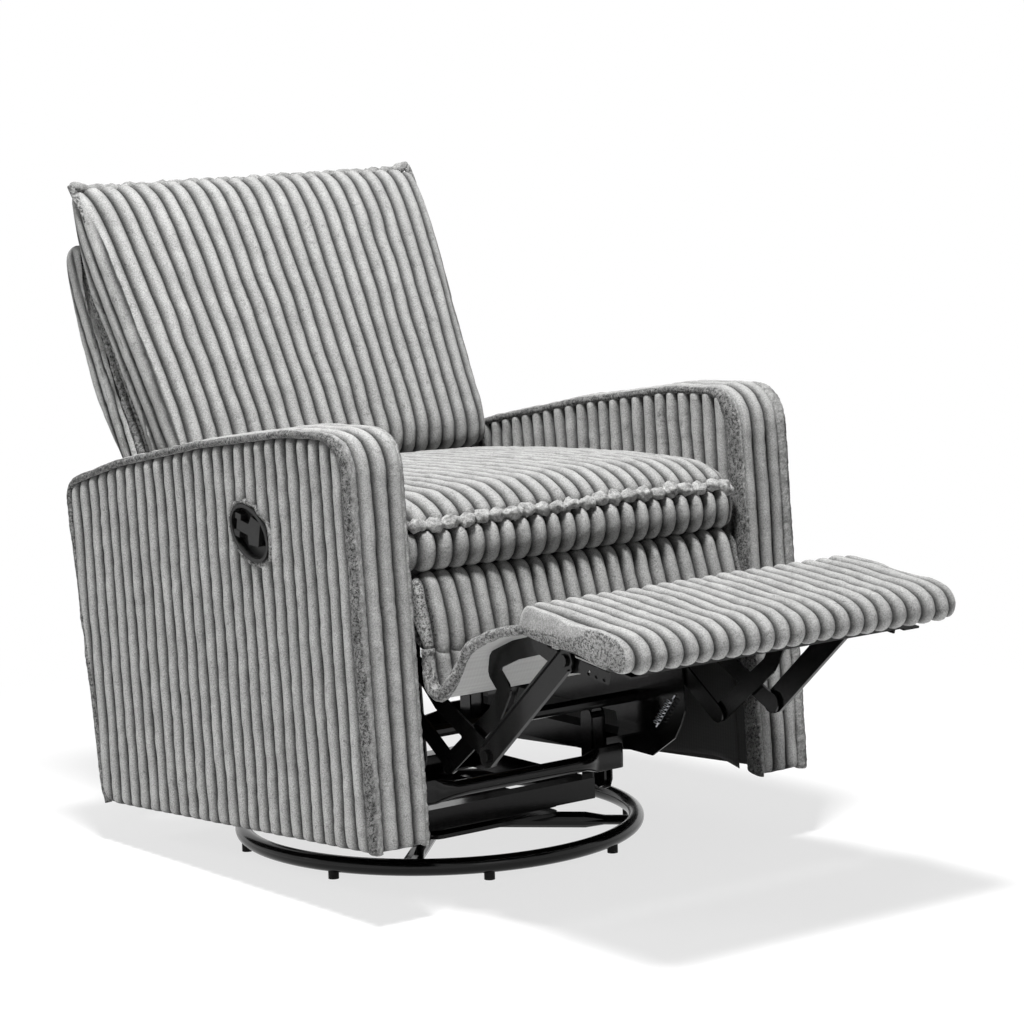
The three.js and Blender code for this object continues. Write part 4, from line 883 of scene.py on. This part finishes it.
def outer_panel(side, tag):
    """The arm's outer face, with a hole for the handle on the near arm."""
    outline = arm_shape(9)
    first, last = ARM_FRONT + 17, outline[:, 0].max() - 1
    at, h = rib_columns(first, last, 27)
    low, high = span_at(outline, at)
    low = np.maximum(80, low - 7)
    panel = face_panel(f"arm_outer_cloth_{tag}", side, at, h, low, high, ARM_OUT - 1, 387.2, 15,
                       seed=70 + side, hole=off_bezel if side < 0 else None)
    if side < 0:
        cut_for_bezel(panel)
    return panel


def cut_for_bezel(obj):
    sides = 64
    angles = np.linspace(0, 2 * np.pi, sides, endpoint=False)
    rings = [bezel_oval(x, angles, 0.5) for x in (-420.0, -360.0)]
    faces = quads(2, sides, wrap_cols=True) + caps(2, sides)
    cutter = outward(make("bezel_cutter", body(np.vstack(rings)), faces, MAT["cloth"]))
    mod = obj.modifiers.new("hole", "BOOLEAN")
    mod.object = cutter
    mod.operation = "DIFFERENCE"
    mod.solver = "EXACT"
    bpy.context.view_layer.update()
    fresh = bpy.data.meshes.new_from_object(obj.evaluated_get(bpy.context.evaluated_depsgraph_get()))
    obj.modifiers.clear()
    obj.data = fresh
    bpy.data.objects.remove(cutter)


def bezel_welt():
    """The cut ends of the ribs, turned in round the handle's bezel."""
    p = bezel_oval(-394.5, np.linspace(0, 2 * np.pi, 170), 3.2)
    ribs = np.abs(np.sin(np.pi * (p[:, 1] - ARM_FRONT - 17) / RIB_WIDE))
    p[:, 0] -= 2 * ribs
    return rope("handle_bezel_welt", p, 3.9 + 1.2 * ribs, body, MAT["crushed"], seed=99, rough=0.16, grain=6)


def arm_band(side, tag):
    """Three ribs side by side, up the arm's front, over its top and down its rear."""
    line = arm_line(1, 6)
    at, h = rib_columns(0, 1, 3, per=14)
    run = distances(line)
    full = swelling(np.minimum(run, run[-1] - run), 14)
    outer = ARM_OUT + 1 - 1.9 * strip_radius(line, *OUTER_STRIP)
    across = ARM_IN + 5 + at[None] * (outer[:, None] - ARM_IN - 5)
    where = np.stack([np.broadcast_to(run[:, None], across.shape), across, np.full(across.shape, side * 90.0)], -1)
    across = across + 1.2 * lumps(where, 50, 82) * np.sin(np.pi * at)[None]
    crown = 3.5 * dome(at)[None]
    top = crown - DEPTH * (1 - h[None] * full[:, None]) + 0.9 * lumps(where, 12, 80) + 0.9 * lumps(where, 40, 81)
    under = np.full((len(line), 2), -14.0)
    xs = side * np.concatenate([across, across[:, -1:], across[:, :1]], 1)
    # The underside gets rib 0, so the cloth's painted shade darkens it fully.
    rib = np.concatenate([h[None] * full[:, None], under * 0], 1)
    return sweep(f"arm_band_cloth_{tag}", line, xs, np.concatenate([top, under], 1), rib)


def edge_strip(side, tag, sizes, flat, inner, name, seed):
    """A strip of crushed pile along the arm's edge, on its outer or its inner corner."""
    path = arm_line(1, 3)
    r = strip_radius(path, *sizes)
    normal = normals_of(path, False)
    line = path - normal * (r - 0.5)[:, None]
    thin = 1 + (flat - 1) * (1 - smoothstep(path[:, 0], *STRIP_TURN))
    wave = ripple(line[:, 0], 28, seed, line[:, 1])
    x = ARM_IN + 0.5 + r * thin if inner else ARM_OUT - 0.5 - r * thin
    p = np.stack([side * (x + 0.5 * wave), line[:, 0], line[:, 1]], -1)
    return rope(f"{name}_{tag}", p, r + 0.5 * wave, body, MAT["cloth"], sides=24, seed=seed, rough=0.07, grain=5,
                flat=thin, crushed=-side if inner else side)


def inner_panel(side, tag):
    """The arm's inner face, down to just under the seat's side."""
    outline = arm_shape(6)
    at, h = rib_columns(ARM_FRONT + 2 * INNER_STRIP[0] - 4, outline[:, 0].max() - 4, 26)
    high = span_at(outline, at)[1]
    return face_panel(f"arm_inner_cloth_{tag}", -side, at, h, np.full(len(at), 418.0), high, -(ARM_IN + 0.5), -315.8,
                      9, seed=90 + side)


LINING = [(-343.6, 85), (-334, 88), (-300, 97.9), (-282, 100), (-171.7, 96.2), (30, 81.5), (306, 81.5), (306, 417.4),
          (-343.6, 417.4)]


def arm_lining(side, tag):
    """Thin black cloth stapled tight over the lower part of the arm's inner side."""
    rows, cols = 90, 40
    ys = np.linspace(-343.6, 306, rows)
    low, high = span_at(np.array(LINING, float), ys)
    y = np.broadcast_to(ys[:, None], (rows, cols))
    z = low[:, None] + (high - low)[:, None] * np.linspace(0, 1, cols)[None]
    where = np.stack([y, z, z * 0 + side * 60], -1)
    x = 315.5 - 1.6 * (0.5 + 0.5 * lumps(where, 120, 120)) - 0.5 * lumps(where, 40, 121)
    skin = np.stack([side * x, y, z], -1).reshape(-1, 3)
    points = np.vstack([skin, skin + np.array([side * 0.9, 0, 0])])
    return outward(make(f"arm_lining_cloth_{tag}", body(points), two_skins(rows, cols), MAT["lining"]))


for side, tag in SIDES:
    panel = outer_panel(side, tag)
    if side < 0:
        dress(bezel_welt(), "seat_body", fill=0.5)
    dress(panel, "seat_body", f"arm_outer_panel_{tag}", fill=0.8)
    dress(arm_band(side, tag), "seat_body", f"arm_band_{tag}", fill=0.8)
    outer_strip = edge_strip(side, tag, OUTER_STRIP, 1, False, "arm_outer_strip", 100 + side)
    dress(outer_strip, "seat_body", fill=0.7)
    inner_strip = edge_strip(side, tag, INNER_STRIP, 0.42, True, "arm_inner_strip", 110 + side)
    dress(inner_strip, "seat_body", fill=0.7)
    dress(inner_panel(side, tag), "seat_body", f"arm_inner_panel_{tag}", fill=0.8)

for side, tag in SIDES:
    lining = arm_lining(side, tag)
    dress(lining, "seat_body", f"arm_lining_{tag}", slot="black_cloth")

# Flap from the apron to the footrest

FLAP_PATH = [(-403, 352), (-404, 322), (-411, 296), (-430, 285), (-452, 299), (-487, 346.5), (-530, 368.5), (-571, 381),
             (-612, 387)]
FLAP_HALF = 284


def footrest_flap():
    """The flap, ribbed in front and plain behind, and its line, its normals and its length."""
    line = resample(catmull(FLAP_PATH)[0], 4)[0]
    normal = normals_of(line, False)
    if normal[len(line) // 2][1] < 0:
        normal = -normal
    at, h = rib_columns(-FLAP_HALF, FLAP_HALF, RIBS, per=10, crests=True)
    rows, cols = len(at), len(line)
    run = distances(line)
    where = np.stack(np.meshgrid(at, run, [0.0], indexing="ij"), -1)[:, :, 0]
    wide = 1 + 0.03 * (1 - smoothstep(run, 70, 130))
    plump = (4 + 8.5 * (1 - smoothstep(run, 62, 112))) * swelling(run, 20)
    top = 1.4 + plump[None] * h[:, None] + 0.6 * lumps(where, 12, 130)
    sag = 1.6 * lumps(where, 90, 131)
    grid = np.zeros((2, rows, cols, 3))
    grid[..., 0] = at[None, :, None] * wide[None, None]
    for k, off in enumerate((top + sag, sag - 0.4)):
        grid[k, ..., 1:] = line[None] + normal[None] * off[..., None]
    rib = np.append(h[:, None] * np.ones((rows, cols)), np.full((rows, cols), 0.6))
    faces = two_skins(rows, cols)
    obj = make("footrest_flap_cloth", body(grid.reshape(-1, 3)), faces, [MAT["cloth"], MAT["backing"]], rib)
    side = (rows - 1) * (cols - 1)
    for polygon in obj.data.polygons[side:2 * side]:
        polygon.material_index = 1
    return outward(obj), line, normal, float(run[-1])


def flap_hem(side, tag, line, normal):
    """The turned edge of the flap, thicker near the apron."""
    wave = ripple(line[:, 0], 24, 140 + side, line[:, 1])
    run = np.linspace(0, 1, len(line))
    thick = 7.6 + 2 * (1 - smoothstep(run, 0.3, 0.55)) + 0.8 * wave
    out = FLAP_HALF + 7.5 * (1 - smoothstep(run, 0.3, 0.5)) - 1.5
    p = np.stack([side * (out + wave), *(line + normal * (4.5 + 0.6 * wave)[:, None]).T], -1)
    return rope(f"footrest_flap_hem_{tag}", p, thick, body, MAT["crushed"], sides=18, seed=142 + side, rough=0.12,
                grain=6)


flap, flap_line, flap_normal, flap_long = footrest_flap()
for side, tag in SIDES:
    hem = flap_hem(side, tag, flap_line, flap_normal)
    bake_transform(hem)
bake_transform(flap)
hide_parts("footrest_flap")

# Base and tubes

RING, RING_TUBE, RING_UP = 300, 12.5, 22.5
TUBE, PRESSED = 12, 19  # the half thickness of the cross tubes, and the half width of their pressed ends


def turned(name, points, radii, flat=1.0, closed=False, sides=24):
    """A smooth painted bar along points of the base. flat is the share of the radius kept along each ring's level
    way."""
    p = np.asarray(points, float)
    r = np.broadcast_to(np.asarray(radii, float), len(p))
    t = tangents(p, closed)
    ring = ovals(t, np.cross(np.array([0, 0, 1.0]), t), flat, np.linspace(0, 2 * np.pi, sides, endpoint=False))
    grid = p[:, None] + ring * r[:, None, None]
    faces = quads(len(p), sides, wrap_rows=closed, wrap_cols=True) + ([] if closed else caps(len(p), sides))
    return outward(make(name, level(grid.reshape(-1, 3)), faces, MAT["paint"]))


a = np.linspace(0, 2 * np.pi, 160, endpoint=False)
circle = np.stack([RING * np.cos(a), RING * np.sin(a), np.full(len(a), RING_UP)], -1)
dress(turned("base_ring_tube", circle, RING_TUBE, closed=True), "floor_base", "base_ring", slot="black_metal")

for name, end, node in (("front_tube", -1, "front_cross_tube"), ("rear_tube", 1, "rear_cross_tube")):
    x = np.concatenate([np.linspace(-199, -150, 14), np.linspace(-140, 140, 15), np.linspace(150, 199, 14)])
    pressed = smoothstep(np.abs(x), 122, 152)
    p = np.stack([x, end * (207 - (207 - 200.8) * pressed), np.full(len(x), 123.0)], -1)
    tube = turned(f"{name}_bar", p, TUBE + (PRESSED - TUBE) * pressed, flat=1 + (2.5 / PRESSED - 1) * pressed)
    dress(tube, "seat_body", node, slot="black_metal")

# Stage

FILL = 0.13  # the strength of the world's light on the object
LAMPS = (("key", (-0.75, -0.7, 4.0), 0.6, 290), ("left", (-3.2, 2.0, 2.3), 1.0, 30),
         ("front", (-0.6, -4.2, 2.0), 1.5, 6))
AIM = (0, 0, 0.45)


def stage():
    """A pale floor that keeps the shadow and fades to white, a world that is white where it is seen, and lamps."""
    bpy.ops.mesh.primitive_plane_add(size=60, location=(0, 0, 0))
    floor = bpy.context.object
    floor.name = "studio_floor"
    m = Finish("pale_floor")
    m.set(Base_Color=(0.9, 0.9, 0.9, 1), Roughness=0.9)
    away = m.add("ShaderNodeVectorMath", operation="LENGTH")
    m.link(m.where, away, 0)
    fade = m.ramp(m.times(away.outputs["Value"], 0.25), (0.16, 0.72), (0.42, 1.0))
    m.blend(m.times(m.seen(), fade), m.shader.outputs[0], m.light("ShaderNodeEmission"))
    floor.data.materials.append(m.mat)

    bpy.context.scene.world = bpy.data.worlds.new("studio")
    w = Nodes(bpy.context.scene.world, "ShaderNodeOutputWorld")
    w.blend(w.seen(), w.light("ShaderNodeBackground", FILL), w.light("ShaderNodeBackground"))

    for name, place, size, power in LAMPS:
        lamp = bpy.data.lights.new(name, "AREA")
        lamp.shape = "SQUARE"
        lamp.size = size
        lamp.energy = power
        obj = bpy.data.objects.new(name, lamp)
        obj.location = place
        obj.rotation_mode = "QUATERNION"
        obj.rotation_quaternion = (Vector(AIM) - Vector(place)).to_track_quat("-Z", "Y")
        bpy.context.scene.collection.objects.link(obj)


EYE = (-3.048, -4.0717, 1.249)
EYE_ANGLES = (-37.236, 8.259, -1.639)  # azimuth, elevation and roll, in degrees
FOCAL = 3476.7  # in pixels of the 1024 wide frame


def camera():
    """The photograph's camera, fitted to the base ring."""
    azimuth, elevation, roll = (math.radians(v) for v in EYE_ANGLES)
    behind = Vector((math.sin(azimuth) * math.cos(elevation), -math.cos(azimuth) * math.cos(elevation),
                     math.sin(elevation)))
    right = (-behind).cross(Vector((0, 0, 1))).normalized()
    up = right.cross(-behind)
    across = right * math.cos(roll) + up * math.sin(roll)
    upright = -right * math.sin(roll) + up * math.cos(roll)
    data = bpy.data.cameras.new("camera")
    data.sensor_width = 36
    data.lens = FOCAL / 1024 * data.sensor_width
    data.clip_start, data.clip_end = 0.1, 100
    cam = bpy.data.objects.new("camera", data)
    cam.matrix_world = Matrix([(across[k], upright[k], behind[k], EYE[k]) for k in range(3)] + [(0, 0, 0, 1)])
    bpy.context.scene.collection.objects.link(cam)
    bpy.context.scene.camera = cam


stage()
camera()
bpy.context.scene.view_settings.view_transform = "Standard"
